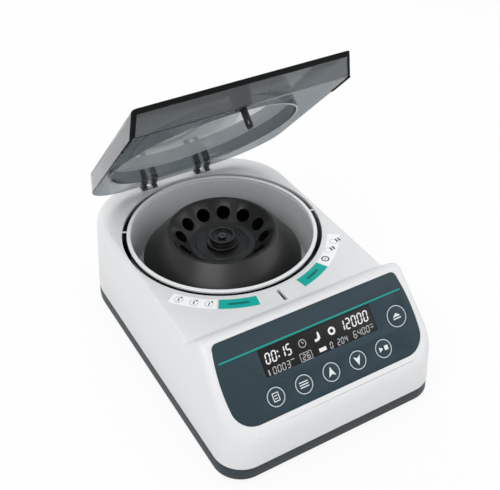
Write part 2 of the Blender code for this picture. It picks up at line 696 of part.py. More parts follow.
def make_motor():
    outline = rounded_plate_outline(PLATE_SIZE, PLATE_SIZE, PLATE_CORNER)
    motor_plate = plate("motor_plate", outline, PLATE_THICKNESS, "steel")
    motor_plate.location = (0, CHAMBER_Y, PLATE_TOP_Z - PLATE_THICKNESS / 2)
    place = upright(0, CHAMBER_Y, PLATE_LOW_Z - OVERRUN)
    combine(motor_plate, cylinders("plate_hole", MOTOR_BOSS_RADIUS + GAP, OVERRUN * 2, [place], KEY_STEPS))
    reach = PLATE_SIZE / 2 - DAMPER_INSET
    low, high = FLOOR_Z, PLATE_LOW_Z - GAP
    waist = (high - low) / 4
    profile = [(0, high), (DAMPER_RADIUS, high), (DAMPER_RADIUS, high - waist),
               (DAMPER_WAIST_RADIUS, high - waist), (DAMPER_WAIST_RADIUS, low + waist),
               (DAMPER_RADIUS, low + waist), (DAMPER_RADIUS, low), (0, low)]
    spots = [(x * reach, CHAMBER_Y + y * reach) for y in (-1, 1) for x in (-1, 1)]
    for number, (x, y) in enumerate(spots, 1):
        turned(f"damper_{number}", profile, (x, y, 0), KEY_STEPS // 2, "rubber")
    top = PLATE_LOW_Z - GAP
    boss = top + MOTOR_BOSS_HEIGHT
    bore = SHAFT_RADIUS + GAP
    profile = [(0, boss - MOTOR_BORE), (bore, boss - MOTOR_BORE), (bore, boss), (MOTOR_BOSS_RADIUS, boss),
               (MOTOR_BOSS_RADIUS, top), (MOTOR_RADIUS, top), (MOTOR_RADIUS, top - MOTOR_HEIGHT),
               (0, top - MOTOR_HEIGHT)]
    turned("motor_housing", profile, (0, CHAMBER_Y, 0), KEY_STEPS, "aluminium")
    return boss - MOTOR_BORE + GAP


# Rotor and what turns with it

def socket_places():
    """Each socket runs square to the rotor's inner cone, out and down from its mouth."""
    run = MOUTH_RADIUS - WELL_RADIUS
    rise = MOUTH_RISE + WELL_DEPTH
    slope = math.atan2(rise, run)
    mouth_z = -WELL_DEPTH + (SOCKET_CIRCLE - WELL_RADIUS) * math.tan(slope)
    tilt = Matrix.Rotation(math.pi + slope, 4, "X")
    start = Matrix.Translation((0, 0, -SOCKET_RADIUS))
    radial = Matrix.Translation((0, SOCKET_CIRCLE, mouth_z))
    centre = Matrix.Translation((0, CHAMBER_Y, DECK_Z))
    turns = [Matrix.Rotation(2 * math.pi * k / SOCKETS, 4, "Z") for k in range(SOCKETS)]
    return [centre @ turn @ radial @ tilt @ start for turn in turns]


def make_rotor(shaft_low):
    centre = (0, CHAMBER_Y, DECK_Z)
    profile = [(0, -WELL_DEPTH), (WELL_RADIUS, -WELL_DEPTH), (MOUTH_RADIUS, MOUTH_RISE),
               (MOUTH_RADIUS + MOUTH_LAND, MOUTH_RISE), (SKIRT_RADIUS, -SKIRT_DROP),
               (SKIRT_RADIUS, -ROTOR_DROP), (0, -ROTOR_DROP)]
    rotor = turned("rotor", profile, centre, ROUND_STEPS, "rotor_black")
    combine(rotor, cylinders("sockets", SOCKET_RADIUS, SOCKET_LENGTH + SOCKET_RADIUS,
                             socket_places(), SOCKET_STEPS))
    bore = upright(0, CHAMBER_Y, DECK_Z - ROTOR_DROP - OVERRUN)
    combine(rotor, cylinders("shaft_bore", SHAFT_RADIUS + GAP, OVERRUN + SHAFT_SEAT, [bore], KEY_STEPS))
    top = DECK_Z - ROTOR_DROP + SHAFT_SEAT - GAP
    profile = [(0, top), (SHAFT_RADIUS, top), (SHAFT_RADIUS, shaft_low), (0, shaft_low)]
    turned("motor_shaft", profile, (0, CHAMBER_Y, 0), KEY_STEPS, "steel")


def make_rotor_knob():
    base = GAP - WELL_DEPTH
    top = base + KNOB_HEIGHT
    grip = top - KNOB_RECESS
    neck = base + KNOB_FLANGE_HEIGHT
    lean = KNOB_RADIUS - KNOB_WAIST_RADIUS
    profile = [(0, grip), (KNOB_RECESS_RADIUS, grip), (KNOB_RECESS_RADIUS, top), (KNOB_RADIUS, top),
               (KNOB_RADIUS, grip), (KNOB_WAIST_RADIUS, grip - lean), (KNOB_WAIST_RADIUS, neck),
               (KNOB_FLANGE_RADIUS, neck - lean / 2), (KNOB_FLANGE_RADIUS, base), (0, base)]
    turned("rotor_knob", profile, (0, CHAMBER_Y, DECK_Z), KNOB_STEPS, "rotor_black")
    low = grip + GAP
    high = low + CLAMP_SCREW_HEIGHT
    socket = high - CLAMP_SOCKET_DEPTH
    profile = [(0, socket), (CLAMP_SOCKET_RADIUS, socket), (CLAMP_SOCKET_RADIUS, high),
               (CLAMP_SCREW_RADIUS, high), (CLAMP_SCREW_RADIUS, low), (0, low)]
    turned("clamp_screw", profile, (0, CHAMBER_Y, DECK_Z), KEY_STEPS, "steel")


# Power supply, drive board and rear fittings

def make_power_parts():
    centre = (SUPPLY_X, SUPPLY_Y, FLOOR_Z + SUPPLY_SIZE.z / 2)
    supply = box("power_supply", SUPPLY_SIZE, centre, "aluminium")
    bevel(supply, SUPPLY_ROUND, EDGE_STEPS)
    board_low = FLOOR_Z + DRIVE_STAND
    centre = (DRIVE_X, SUPPLY_Y, board_low + DRIVE_SIZE.z / 2)
    board = box("drive_board", DRIVE_SIZE, centre, "board_green")
    reach_x = DRIVE_SIZE.x / 2 - DRIVE_STAND_RADIUS
    reach_y = DRIVE_SIZE.y / 2 - DRIVE_STAND_RADIUS
    stands = [upright(DRIVE_X + x * reach_x, SUPPLY_Y + y * reach_y, FLOOR_Z)
              for x in (-1, 1) for y in (-1, 1)]
    length = DRIVE_STAND + DRIVE_SIZE.z / 2
    combine(board, cylinders("board_stands", DRIVE_STAND_RADIUS, length, stands, 12), "UNION")
    top = board_low + DRIVE_SIZE.z + GAP
    centre = (DRIVE_X, SUPPLY_Y, top + DRIVE_SINK_SIZE.z / 2)
    sink = box("heat_sink", DRIVE_SINK_SIZE, centre, "aluminium")
    fins = 4
    pitch = DRIVE_SINK_SIZE.x / fins
    for k in range(1, fins):
        x = DRIVE_X - DRIVE_SINK_SIZE.x / 2 + pitch * k
        size = (pitch / 2, DRIVE_SINK_SIZE.y * 2, DRIVE_SINK_SIZE.z)
        combine(sink, box(f"fin_gap_{k}", size, (x, SUPPLY_Y, top + DRIVE_SINK_SIZE.z * 3 / 4)))


def rear_hole(shell, name, size, x):
    grown = (size.x + GAP * 2, OVERRUN * 2, size.z + GAP * 2)
    combine(shell, box(name, grown, (x, REAR_Y, REAR_ROW_Z)))


def flanged_body(name, size, x):
    """A moulded body through the rear wall with a flange that rests on its outer face."""
    face = REAR_Y + REAR_PROUD
    body = box(name, size, (x, face - size.y / 2, REAR_ROW_Z), "black_plastic")
    thickness = REAR_PROUD - GAP
    wide = (size.x + FLANGE_MARGIN * 2, thickness, size.z + FLANGE_MARGIN * 2)
    combine(body, box(name + "_flange", wide, (x, face - thickness / 2, REAR_ROW_Z)), "UNION")
    return body, face


def make_inlet(shell):
    rear_hole(shell, "inlet_hole", INLET_SIZE, INLET_X)
    inlet, face = flanged_body("inlet_socket", INLET_SIZE, INLET_X)
    size = (INLET_CAVITY.x, INLET_CAVITY.y * 2, INLET_CAVITY.z)
    combine(inlet, box("inlet_cavity", size, (INLET_X, face, REAR_ROW_Z)))
    back = face - INLET_CAVITY.y
    for k in (-1, 0, 1):
        lift = PIN_SIZE.z / 2 if k == 0 else -PIN_SIZE.z / 2
        centre = (INLET_X + k * PIN_PITCH, back + PIN_SIZE.y / 2 - WALL / 2, REAR_ROW_Z + lift)
        combine(inlet, box(f"inlet_pin_{k + 2}", PIN_SIZE, centre), "UNION")


def make_power_switch(shell):
    rear_hole(shell, "switch_hole", SWITCH_SIZE, SWITCH_X)
    frame, face = flanged_body("power_switch_frame", SWITCH_SIZE, SWITCH_X)
    inside = (SWITCH_SIZE.x - SWITCH_LIP * 2, SWITCH_SIZE.z - SWITCH_LIP * 2)
    cavity = (inside[0], (SWITCH_SIZE.y - SWITCH_LIP) * 2, inside[1])
    combine(frame, box("switch_cavity", cavity, (SWITCH_X, face, REAR_ROW_Z)))
    half = inside[1] / 2 - GAP * 2
    bow = ROCKER_THICKNESS * math.sin(ROCKER_TILT) / 2
    thick = ROCKER_THICKNESS / 2
    outline = [(thick + bow, half), (thick, 0), (thick + bow, -half), (0, -half), (-thick, 0), (0, half)]
    rocker = plate("power_rocker", outline, inside[0] - GAP * 2, "black_plastic")
    rocker.location = (SWITCH_X, face - ROCKER_SETBACK, REAR_ROW_Z)
    upright_turn = Euler((math.radians(90), 0, math.radians(90))).to_matrix()
    rocker.rotation_euler = (Matrix.Rotation(ROCKER_TILT, 3, "X") @ upright_turn).to_euler()


def cut_vents(shell):
    for k in range(VENTS):
        x = (k - (VENTS - 1) / 2) * VENT_PITCH
        combine(shell, box(f"vent_{k}", (VENT_WIDTH, OVERRUN * 2, VENT_HEIGHT), (x, REAR_Y, VENT_Z)))


# Hinges

def hinge_sides():
    return (("left", -1), ("right", 1))


def across(x, y, z):
    """A cylinder's place that starts at a point and runs along +X."""
    return Matrix.Translation((x, y, z)) @ Matrix.Rotation(math.radians(90), 4, "Y")


def make_hinges(shell):
    knuckle = LUG_SPACING - LUG_THICKNESS - SIDE_PLAY * 2
    lug_reach = (LUG_SPACING + LUG_THICKNESS) / 2
    pocket = (lug_reach + SIDE_PLAY) * 2
    seat = DECK_Z - WALL - GAP
    block_top = HINGE_Z - POCKET_HALF
    block_low = seat - BRACKET_DROP
    for side, sign in hinge_sides():
        x = sign * HINGE_X
        combine(shell, box(f"hinge_pocket_{side}", (pocket, POCKET_HALF * 2, OVERRUN * 2),
                           (x, HINGE_Y, DECK_Z)))
        size = (BRACKET_HALF * 2, POCKET_HALF * 2, seat - block_low)
        bracket = box(f"hinge_bracket_{side}", size, (x, HINGE_Y, seat - size[2] / 2), "steel")
        hollow = (pocket, POCKET_HALF * 4, OVERRUN)
        combine(bracket, box(f"bracket_hollow_{side}", hollow, (x, HINGE_Y, block_top + OVERRUN / 2)))
        web = (knuckle, LUG_EYE_RADIUS, HINGE_Z - block_low - WALL / 2)
        combine(bracket, box(f"bracket_web_{side}", web, (x, HINGE_Y, HINGE_Z - web[2] / 2)), "UNION")
        eye = across(x - knuckle / 2, HINGE_Y, HINGE_Z)
        knuckle_eye = cylinders(f"bracket_eye_{side}", LUG_EYE_RADIUS, knuckle, [eye], KEY_STEPS // 2)
        combine(bracket, knuckle_eye, "UNION")
        bore = across(x - lug_reach - OVERRUN, HINGE_Y, HINGE_Z)
        length = (lug_reach + OVERRUN) * 2
        combine(bracket, cylinders(f"bracket_bore_{side}", PIN_RADIUS + GAP, length, [bore], 12))
        place = [across(x - lug_reach, HINGE_Y, HINGE_Z)]
        cylinders(f"hinge_pin_{side}", PIN_RADIUS, lug_reach * 2, place, 12, "steel")


# Lid, modelled closed in a frame that stands at the hinge and leans back by the opening angle

def make_lid_frame():
    pivot = bpy.data.objects.new("lid_pivot", None)
    PARTS.objects.link(pivot)
    pivot.location = (0, HINGE_Y, HINGE_Z)
    pivot.rotation_euler = (-LID_OPEN, 0, 0)
    deck = bpy.data.objects.new("lid_deck_frame", None)
    PARTS.objects.link(deck)
    deck.parent = pivot
    deck.location = (0, -HINGE_BACK, HINGE_SINK)
    return deck


def lid_ring(z, inset):
    """The lid's outline at one height; its front wall leans forward as it rises."""
    share = (z - LID_RIM) / (LID_TOP - LID_RIM)
    lean = math.atan2(LID_TOP - LID_RIM, LID_FRONT_TOP - LID_FRONT_LOW)
    half = LID_HALF_LOW + (LID_HALF_TOP - LID_HALF_LOW) * share - inset
    front = -LID_FRONT_LOW - (LID_FRONT_TOP - LID_FRONT_LOW) * share + inset / math.sin(lean)
    rear = LID_REAR_LOW + (LID_REAR_TOP - LID_REAR_LOW) * share - inset
    front_radius = max(LID_FRONT_RADIUS - inset, LID_FRONT_RADIUS / 4)
    rear_radius = LID_REAR_RADIUS - inset
    outline = rounded_outline(half, front, rear, front_radius, rear_radius, CORNER_STEPS * 3 // 2)
    return [(x, y, z) for x, y in outline]


def lug_outline():
    """Side view of a lug as (y, z): an eye round the pin and an arm into the lid's rear wall."""
    eye = arc(HINGE_BACK, -HINGE_SINK, LUG_EYE_RADIUS, -200, 260, LUG_STEPS)
    top = LID_TOP - LID_WALL / 2
    root = LID_REAR_TOP - LID_WALL / 2
    arm = [(root + LUG_EYE_RADIUS, LID_RIM + LUG_ROOT), (root, top), (root - LUG_ROOT, top),
           (LID_REAR_LOW - LID_WALL - LUG_ROOT / 2, LID_RIM + LUG_ROOT)]
    return eye + arm


def make_lid_shell(frame):
    top, low = LID_TOP, LID_RIM
    lid = loft("lid_shell", [lid_ring(low, 0), lid_ring(top, 0)], "smoke", frame)
    hollow = loft("lid_hollow", [lid_ring(low - OVERRUN, LID_WALL), lid_ring(top - LID_WALL, LID_WALL)],
                  None, frame)
    combine(lid, hollow)
    for side, sign in hinge_sides():
        for number, offset in enumerate((-LUG_SPACING / 2, LUG_SPACING / 2), 1):
            lug = plate(f"lug_{side}_{number}", lug_outline(), LUG_THICKNESS, None, frame)
            lug.location = (sign * HINGE_X + offset, 0, 0)
            lug.rotation_euler = (math.radians(90), 0, math.radians(90))
            combine(lid, lug, "UNION")
        length = (LUG_SPACING + LUG_THICKNESS) / 2 + OVERRUN
        bore = across(sign * HINGE_X - length, HINGE_BACK, -HINGE_SINK)
        combine(lid, cylinders(f"lug_bore_{side}", PIN_RADIUS + GAP, length * 2, [bore], 12, None, frame))
    return lid


def trim_outline(length, grow, top):
    """A band along the front wall's top edge with a leg down each end, seen square to the wall."""
    low_half = LID_HALF_LOW - LID_FRONT_RADIUS
    slope = (LID_HALF_LOW - LID_HALF_TOP) / length
    foot = TRIM_END - grow
    near_top = length - TRIM_HEIGHT - grow
    right = [(low_half - slope * foot + grow, foot), (low_half - slope * top + grow, top)]
    inner = [(low_half - slope * near_top - TRIM_END - grow, near_top),
             (low_half - slope * foot - TRIM_END - grow, foot)]
    left = [(-x, y) for x, y in reversed(right)]
    return right + left + [(-x, y) for x, y in reversed(inner)] + inner


def make_lid_trim(lid, frame):
    """A flat band let into the lid's front wall, flush with its face."""
    rise, run = LID_TOP - LID_RIM, LID_FRONT_TOP - LID_FRONT_LOW
    length = math.hypot(rise, run)
    lean = math.atan2(rise, run)
    foot = Vector((0, -LID_FRONT_LOW, LID_RIM))
    inward = Vector((0, math.sin(lean), math.cos(lean)))
    rebate = plate("trim_rebate", trim_outline(length, GAP, length + OVERRUN),
                   (TRIM_THICKNESS + GAP) * 2, None, frame)
    rebate.location = foot
    trim = plate("lid_front_trim", trim_outline(length, 0, length - GAP), TRIM_THICKNESS,
                 "black_plastic", frame)
    trim.location = foot + inward * TRIM_THICKNESS / 2
    for piece in (rebate, trim):
        piece.rotation_euler = (math.pi - lean, 0, 0)
    combine(lid, rebate)


def make_lid_ring(frame):
    top = LID_TOP - LID_WALL - GAP
    outer = RING_RADIUS + RING_WALL
    profile = [(RING_RADIUS, top), (outer, top), (outer, RING_CLEAR), (RING_RADIUS, RING_CLEAR)]
    turned("lid_ring", profile, (0, 0, 0), ROUND_STEPS, "smoke", frame, ring=True)


def make_latch(shell, frame):
    top = LID_TOP - LID_WALL - GAP
    size = (MOUNT_HALF * 2, MOUNT_LENGTH, MOUNT_HEIGHT)
    mount = box("latch_mount", size, (0, -HOOK_BACK, top - MOUNT_HEIGHT / 2), "black_plastic", frame)
    bevel(mount, GAP * 2, 1)
    mount_low = top - MOUNT_HEIGHT
    slot = (HOOK_THICKNESS + GAP * 2, HOOK_LENGTH + GAP * 2, HOOK_BURIED * 2)
    combine(mount, box("mount_slot", slot, (0, -HOOK_BACK, mount_low), None, frame))
    high = mount_low + HOOK_BURIED - GAP
    round_end = HOOK_LENGTH / 3
    outline = [(-HOOK_LENGTH / 2, high), (HOOK_LENGTH / 2, high)]
    outline += arc(HOOK_LENGTH / 2 - round_end, round_end - HOOK_REACH, round_end, 0, -90, PANEL_STEPS)
    outline += arc(round_end - HOOK_LENGTH / 2, round_end - HOOK_REACH, round_end, -90, -90, PANEL_STEPS)
    hook = plate("latch_hook", outline, HOOK_THICKNESS, "steel", frame)
    hook.location = (0, -HOOK_BACK, 0)
    hook.rotation_euler = (math.radians(90), 0, math.radians(90))
    eye = across(-OVERRUN, -HOOK_BACK, -BOLT_DROP)
    combine(hook, cylinders("hook_eye", BOLT_RADIUS + GAP * 2, OVERRUN * 2, [eye], 16, None, frame))
    size = (SLOT_WIDTH, SLOT_LENGTH, OVERRUN * 2)
    combine(shell, box("latch_slot", size, (0, CHAMBER_Y - HOOK_BACK, DECK_Z)))


def make_lock():
    y = CHAMBER_Y - HOOK_BACK
    seat = DECK_Z - WALL - GAP
    centre = (LOCK_NEAR + LOCK_SIZE.x / 2, y, seat - LOCK_SIZE.z / 2)
    body = box("lock_housing", LOCK_SIZE, centre, "black_plastic")
    bore = across(LOCK_NEAR - OVERRUN, y, DECK_Z - BOLT_DROP)
    depth = OVERRUN + BOLT_LENGTH
    combine(body, cylinders("bolt_bore", BOLT_RADIUS + GAP, depth, [bore], 16))
    start = across(BOLT_CLEAR, y, DECK_Z - BOLT_DROP)
    cylinders("latch_bolt", BOLT_RADIUS, BOLT_LENGTH, [start], 16, "steel")


def build():
    shell = make_upper_shell()
    make_base_tray()
    make_feet_and_screws()
    panel_frame = make_panel_frame()
    cut_panel_seat(shell, panel_frame)
    make_control_panel(panel_frame)
    make_display(panel_frame)
    make_keys(panel_frame)
    make_chamber()
    shaft_low = make_motor()
    make_rotor(shaft_low)
    make_rotor_knob()
    make_power_parts()
    make_inlet(shell)
    make_power_switch(shell)
    cut_vents(shell)
    make_hinges(shell)
    lid_frame = make_lid_frame()
    lid = make_lid_shell(lid_frame)
    make_lid_trim(lid, lid_frame)
    make_lid_ring(lid_frame)
    make_latch(shell, lid_frame)
    make_lock()


build()
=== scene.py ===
import math

import bmesh
import bpy
from mathutils import Euler, Matrix, Vector


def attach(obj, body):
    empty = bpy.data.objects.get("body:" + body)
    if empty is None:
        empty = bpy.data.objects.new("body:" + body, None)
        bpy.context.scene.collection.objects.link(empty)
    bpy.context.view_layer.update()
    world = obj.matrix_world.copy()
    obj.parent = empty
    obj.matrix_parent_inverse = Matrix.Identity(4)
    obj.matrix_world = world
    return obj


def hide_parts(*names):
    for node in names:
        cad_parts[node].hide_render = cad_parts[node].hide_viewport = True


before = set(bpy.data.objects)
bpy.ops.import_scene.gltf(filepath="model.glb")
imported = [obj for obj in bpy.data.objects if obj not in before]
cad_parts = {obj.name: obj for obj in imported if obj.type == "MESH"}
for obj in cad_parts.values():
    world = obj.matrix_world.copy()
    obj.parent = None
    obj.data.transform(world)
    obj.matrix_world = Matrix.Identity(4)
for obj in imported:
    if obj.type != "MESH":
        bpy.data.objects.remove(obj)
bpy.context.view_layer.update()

# Camera, floor and light
# A small product shot: a pale table under soft boxes, seen from the left and above the console.
# The lens and the place were worked out from the round chamber and the housing's edges.
CAMERA_PLACE = Vector((-0.2605, -0.4557, 0.5090))
CAMERA_BACK = Vector((-0.393, -0.675, 0.625)).normalized()
LENS_MM = 61.2

camera_data = bpy.data.cameras.new("camera")
camera_data.lens = LENS_MM
camera_data.sensor_width = 36
camera = bpy.data.objects.new("camera", camera_data)
camera.location = CAMERA_PLACE
camera.rotation_euler = (-CAMERA_BACK).to_track_quat("-Z", "Y").to_euler()
bpy.context.scene.collection.objects.link(camera)
bpy.context.scene.camera = camera
bpy.context.scene.view_settings.view_transform = "Standard"


def feed(tree, target, feeds):
    """Gives inputs, by name or number, a value or another node's output."""
    for socket, value in feeds.items():
        if isinstance(value, bpy.types.NodeSocket):
            tree.links.new(value, target.inputs[socket])
        else:
            target.inputs[socket].default_value = value


def node(tree, kind, feeds=None, **settings):
    """Adds a node, chooses its settings and feeds its inputs."""
    made = tree.nodes.new(kind)
    for key, value in settings.items():
        setattr(made, key, value)
    feed(tree, made, feeds or {})
    return made


def maths(tree, operation, *values):
    """The result of one sum on numbers or sockets."""
    return node(tree, "ShaderNodeMath", dict(enumerate(values)), operation=operation).outputs[0]


def seen_directly(tree):
    """1 for camera, glossy and transmission rays, 0 for the light that falls on the object."""
    path = node(tree, "ShaderNodeLightPath").outputs
    direct = maths(tree, "MAXIMUM", path["Is Camera Ray"], path["Is Glossy Ray"])
    return maths(tree, "MAXIMUM", direct, path["Is Transmission Ray"])


WHITE = (1, 1, 1, 1)
FILL_COLOUR = (0.93, 0.96, 1.0, 1)
FILL_STRENGTH = 0.61
world = bpy.data.worlds.new("soft_white_room")
world.use_nodes = True
tree = world.node_tree
tree.nodes.clear()
fill_light = node(tree, "ShaderNodeBackground", {"Color": FILL_COLOUR, "Strength": FILL_STRENGTH})
white_wall = node(tree, "ShaderNodeBackground", {"Color": WHITE})
chosen = node(tree, "ShaderNodeMixShader", {
    0: seen_directly(tree), 1: fill_light.outputs[0], 2: white_wall.outputs[0]})
node(tree, "ShaderNodeOutputWorld", {0: chosen.outputs[0]})
bpy.context.scene.world = world

FLOOR_SIZE = 6.0
FLOOR_KEEPS_SHADOW = 0.12
FLOOR_COLOUR = (0.86, 0.86, 0.86, 1)
floor_mesh = bpy.data.meshes.new("floor")
bm = bmesh.new()
bmesh.ops.create_grid(bm, x_segments=1, y_segments=1, size=FLOOR_SIZE / 2)
bm.to_mesh(floor_mesh)
bm.free()
floor = bpy.data.objects.new("floor", floor_mesh)
bpy.context.scene.collection.objects.link(floor)
floor_finish = bpy.data.materials.new("pale_table")
floor_finish.use_nodes = True
tree = floor_finish.node_tree
tree.nodes.clear()
matt = node(tree, "ShaderNodeBsdfDiffuse", {"Color": FLOOR_COLOUR})
glow = node(tree, "ShaderNodeEmission", {"Color": WHITE})
part_glow = node(tree, "ShaderNodeMixShader", {
    0: FLOOR_KEEPS_SHADOW, 1: glow.outputs[0], 2: matt.outputs[0]})
chosen = node(tree, "ShaderNodeMixShader", {
    0: seen_directly(tree), 1: matt.outputs[0], 2: part_glow.outputs[0]})
node(tree, "ShaderNodeOutputMaterial", {0: chosen.outputs[0]})
floor_mesh.materials.append(floor_finish)

SOFT_BOXES = [
    ("key_box", (-0.75, -0.55, 1.25), 1.0, 9.6),
    ("right_box", (1.10, -0.60, 0.90), 1.2, 4.4),
    ("back_box", (0.10, 1.20, 1.10), 1.3, 7.6),
]
AIM = Vector((0, 0, 0.08))
for name, place, size, power in SOFT_BOXES:
    lamp = bpy.data.lights.new(name, "AREA")
    lamp.shape = "SQUARE"
    lamp.size = size
    lamp.energy = power
    lamp_object = bpy.data.objects.new(name, lamp)
    lamp_object.location = place
    lamp_object.rotation_euler = (AIM - Vector(place)).to_track_quat("-Z", "Y").to_euler()
    bpy.context.scene.collection.objects.link(lamp_object)

# Base tray
# The dark strip along the foot of the housing is the rim of a deep moulded tray, which carries
# the motor and the boards. It is one injection moulding in slate ABS with a fine spark texture.
GAP = 0.0003
BODY_WIDTH = 0.1880
FRONT_Y = -0.1400
REAR_Y = 0.1383
FOOT_TOP_Z = 0.0042
DECK_Z = 0.0800
SEAM_Z = 0.0152
SIDE_DRAFT = 0.0061
FRONT_DRAFT = 0.0010
FRONT_RADIUS = 0.0228
REAR_RADIUS = 0.0550
TRAY_INSET = 0.0004
TRAY_WALL = 0.0030
TRAY_FLOOR = 0.0025
TRAY_EDGE = 0.0008
CORNER_STEPS = 20
CHAMBER_Y = 0.0375


def arc(centre_x, centre_y, radius, start, sweep, steps):
    angles = [math.radians(start + sweep * i / steps) for i in range(steps + 1)]
    return [(centre_x + radius * math.cos(a), centre_y + radius * math.sin(a)) for a in angles]


def rounded_outline(half, front, rear, front_radius, rear_radius, steps=CORNER_STEPS):
    points = arc(half - front_radius, front + front_radius, front_radius, -90, 90, steps)
    points += arc(half - rear_radius, rear - rear_radius, rear_radius, 0, 90, steps)
    points += arc(rear_radius - half, rear - rear_radius, rear_radius, 90, 90, steps)
    points += arc(front_radius - half, front + front_radius, front_radius, 180, 90, steps)
    return points


def housing_ring(z, inset):
    """The housing's drafted outline at one height, drawn in by inset."""
    share = (z - FOOT_TOP_Z) / (DECK_Z - FOOT_TOP_Z)
    outline = rounded_outline(BODY_WIDTH / 2 - SIDE_DRAFT * share - inset,
                              FRONT_Y + FRONT_DRAFT * share + inset, REAR_Y - inset,
                              FRONT_RADIUS - inset, REAR_RADIUS - inset)
    return [(x, y, z) for x, y in outline]


def new_object(name, bm, recalc=True):
    if recalc:
        bmesh.ops.recalc_face_normals(bm, faces=bm.faces)
    mesh = bpy.data.meshes.new(name)
    bm.to_mesh(mesh)
    bm.free()
    obj = bpy.data.objects.new(name, mesh)
    bpy.context.scene.collection.objects.link(obj)
    return obj


def loft(name, rings):
    """A closed skin through outlines that hold the same number of points."""
    bm = bmesh.new()
    rows = [[bm.verts.new(point) for point in ring] for ring in rings]
    count = len(rings[0])
    for low, high in zip(rows, rows[1:]):
        for i in range(count):
            j = (i + 1) % count
            bm.faces.new((low[i], low[j], high[j], high[i]))
    bm.faces.new(rows[0][::-1])
    bm.faces.new(rows[-1])
    return new_object(name, bm)


def prism(name, outline, thickness):
    """A flat outline in XY, thickened about its own plane."""
    half = thickness / 2
    return loft(name, [[(x, y, -half) for x, y in outline], [(x, y, half) for x, y in outline]])


def block(name, size, centre):
    bm = bmesh.new()
    bmesh.ops.create_cube(bm, size=1, matrix=Matrix.Translation(centre) @ Matrix.Diagonal((*size, 1)))
    return new_object(name, bm)


def cylinder(name, radius, length, place, steps):
    """Runs from the place's origin along its +Z."""
    bm = bmesh.new()
    lift = Matrix.Translation((0, 0, length / 2))
    bmesh.ops.create_cone(bm, cap_ends=True, segments=steps, radius1=radius, radius2=radius,
                          depth=length, matrix=place @ lift)
    return new_object(name, bm)


def settle(obj):
    """Applies the modifiers, so that the finished mesh is plain."""
    depsgraph = bpy.context.evaluated_depsgraph_get()
    mesh = bpy.data.meshes.new_from_object(obj.evaluated_get(depsgraph))
    obj.modifiers.clear()
    obj.data = mesh
    return obj


def changed(obj, kind, **settings):
    """Adds one modifier with its settings and applies it."""
    modifier = obj.modifiers.new(kind, kind)
    for key, value in settings.items():
        setattr(modifier, key, value)
    return settle(obj)


def boolean(target, tool, operation="DIFFERENCE"):
    """Cuts or joins with a tool, which is used up."""
    changed(target, "BOOLEAN", operation=operation, solver="MANIFOLD", object=tool)
    bpy.data.objects.remove(tool, do_unlink=True)
    return target


def soften(obj, width, steps, angle=30):
    """Rounds every edge sharper than the angle."""
    return changed(obj, "BEVEL", width=width, segments=steps, limit_method="ANGLE",
                   angle_limit=math.radians(angle), use_clamp_overlap=True)


def smooth(obj, angle=30):
    obj.data.shade_smooth()
    obj.data.set_sharp_from_angle(angle=math.radians(angle))
    return obj


def principled(name, colour, roughness, metallic=0.0):
    """A fresh material and its Principled shader, with the sockets that stay the same all over."""
    material = bpy.data.materials.new(name)
    material.use_nodes = True
    shader = material.node_tree.nodes["Principled BSDF"]
    shader.inputs["Base Color"].default_value = (*colour, 1)
    shader.inputs["Roughness"].default_value = roughness
    shader.inputs["Metallic"].default_value = metallic
    return material, shader


def new_tree(name, kind, inputs, outputs):
    """A node tree with named sockets, as the tree, its inputs and its output node."""
    tree = bpy.data.node_groups.new(name, kind)
    for socket, socket_kind, value in inputs:
        made = tree.interface.new_socket(socket, in_out="INPUT", socket_type="NodeSocket" + socket_kind)
        if value is not None:
            made.default_value = value
    for socket, socket_kind in outputs:
        tree.interface.new_socket(socket, in_out="OUTPUT", socket_type="NodeSocket" + socket_kind)
    return tree, node(tree, "NodeGroupInput").outputs, node(tree, "NodeGroupOutput")


BUMP_DISTANCE = 0.0001
CLOUD_SCALE = 34


def make_moulded_grain():
    """Spark-eroded mould texture: fine bumps, cloudy gloss and a faint drift of the colour."""
    tree, ins, outs = new_tree(
        "moulded_grain", "ShaderNodeTree",
        [("Colour", "Color", (0.8, 0.8, 0.8, 1)), ("Roughness", "Float", 0.4),
         ("Grain Size", "Float", 0.0006), ("Grain Depth", "Float", 0.1),
         ("Cloud", "Float", 0.05), ("Drift", "Float", 0.03)],
        [("Colour", "Color"), ("Roughness", "Float"), ("Normal", "Vector")])
    place = node(tree, "ShaderNodeTexCoord").outputs["Object"]
    fine = node(tree, "ShaderNodeTexNoise", {
        "Vector": place, "Scale": maths(tree, "DIVIDE", 1.0, ins["Grain Size"]), "Detail": 3})
    cloud = node(tree, "ShaderNodeTexNoise", {"Vector": place, "Scale": CLOUD_SCALE, "Detail": 4})
    centred = maths(tree, "SUBTRACT", cloud.outputs["Fac"], 0.5)
    drift = node(tree, "ShaderNodeHueSaturation", {
        "Color": ins["Colour"], "Value": maths(tree, "MULTIPLY_ADD", centred, ins["Drift"], 1.0)})
    bump = node(tree, "ShaderNodeBump", {
        "Strength": ins["Grain Depth"], "Distance": BUMP_DISTANCE, "Height": fine.outputs["Fac"]})
    feed(tree, outs, {
        "Colour": drift.outputs["Color"], "Normal": bump.outputs["Normal"],
        "Roughness": maths(tree, "MULTIPLY_ADD", centred, ins["Cloud"], ins["Roughness"])})
    return tree


moulded_grain = make_moulded_grain()


def moulded(name, colour, roughness, grain=0.0006, depth=0.1, cloud=0.05, drift=0.03, shine=0.5):
    """Injection-moulded plastic with its own grain."""
    material, shader = principled(name, colour, roughness)
    tree = material.node_tree
    surface = node(tree, "ShaderNodeGroup", {
        "Colour": (*colour, 1), "Roughness": roughness, "Grain Size": grain, "Grain Depth": depth,
        "Cloud": cloud, "Drift": drift}, node_tree=moulded_grain).outputs
    feed(tree, shader, {
        "Specular IOR Level": shine, "Base Color": surface["Colour"], "Roughness": surface["Roughness"],
        "Normal": surface["Normal"]})
    return material


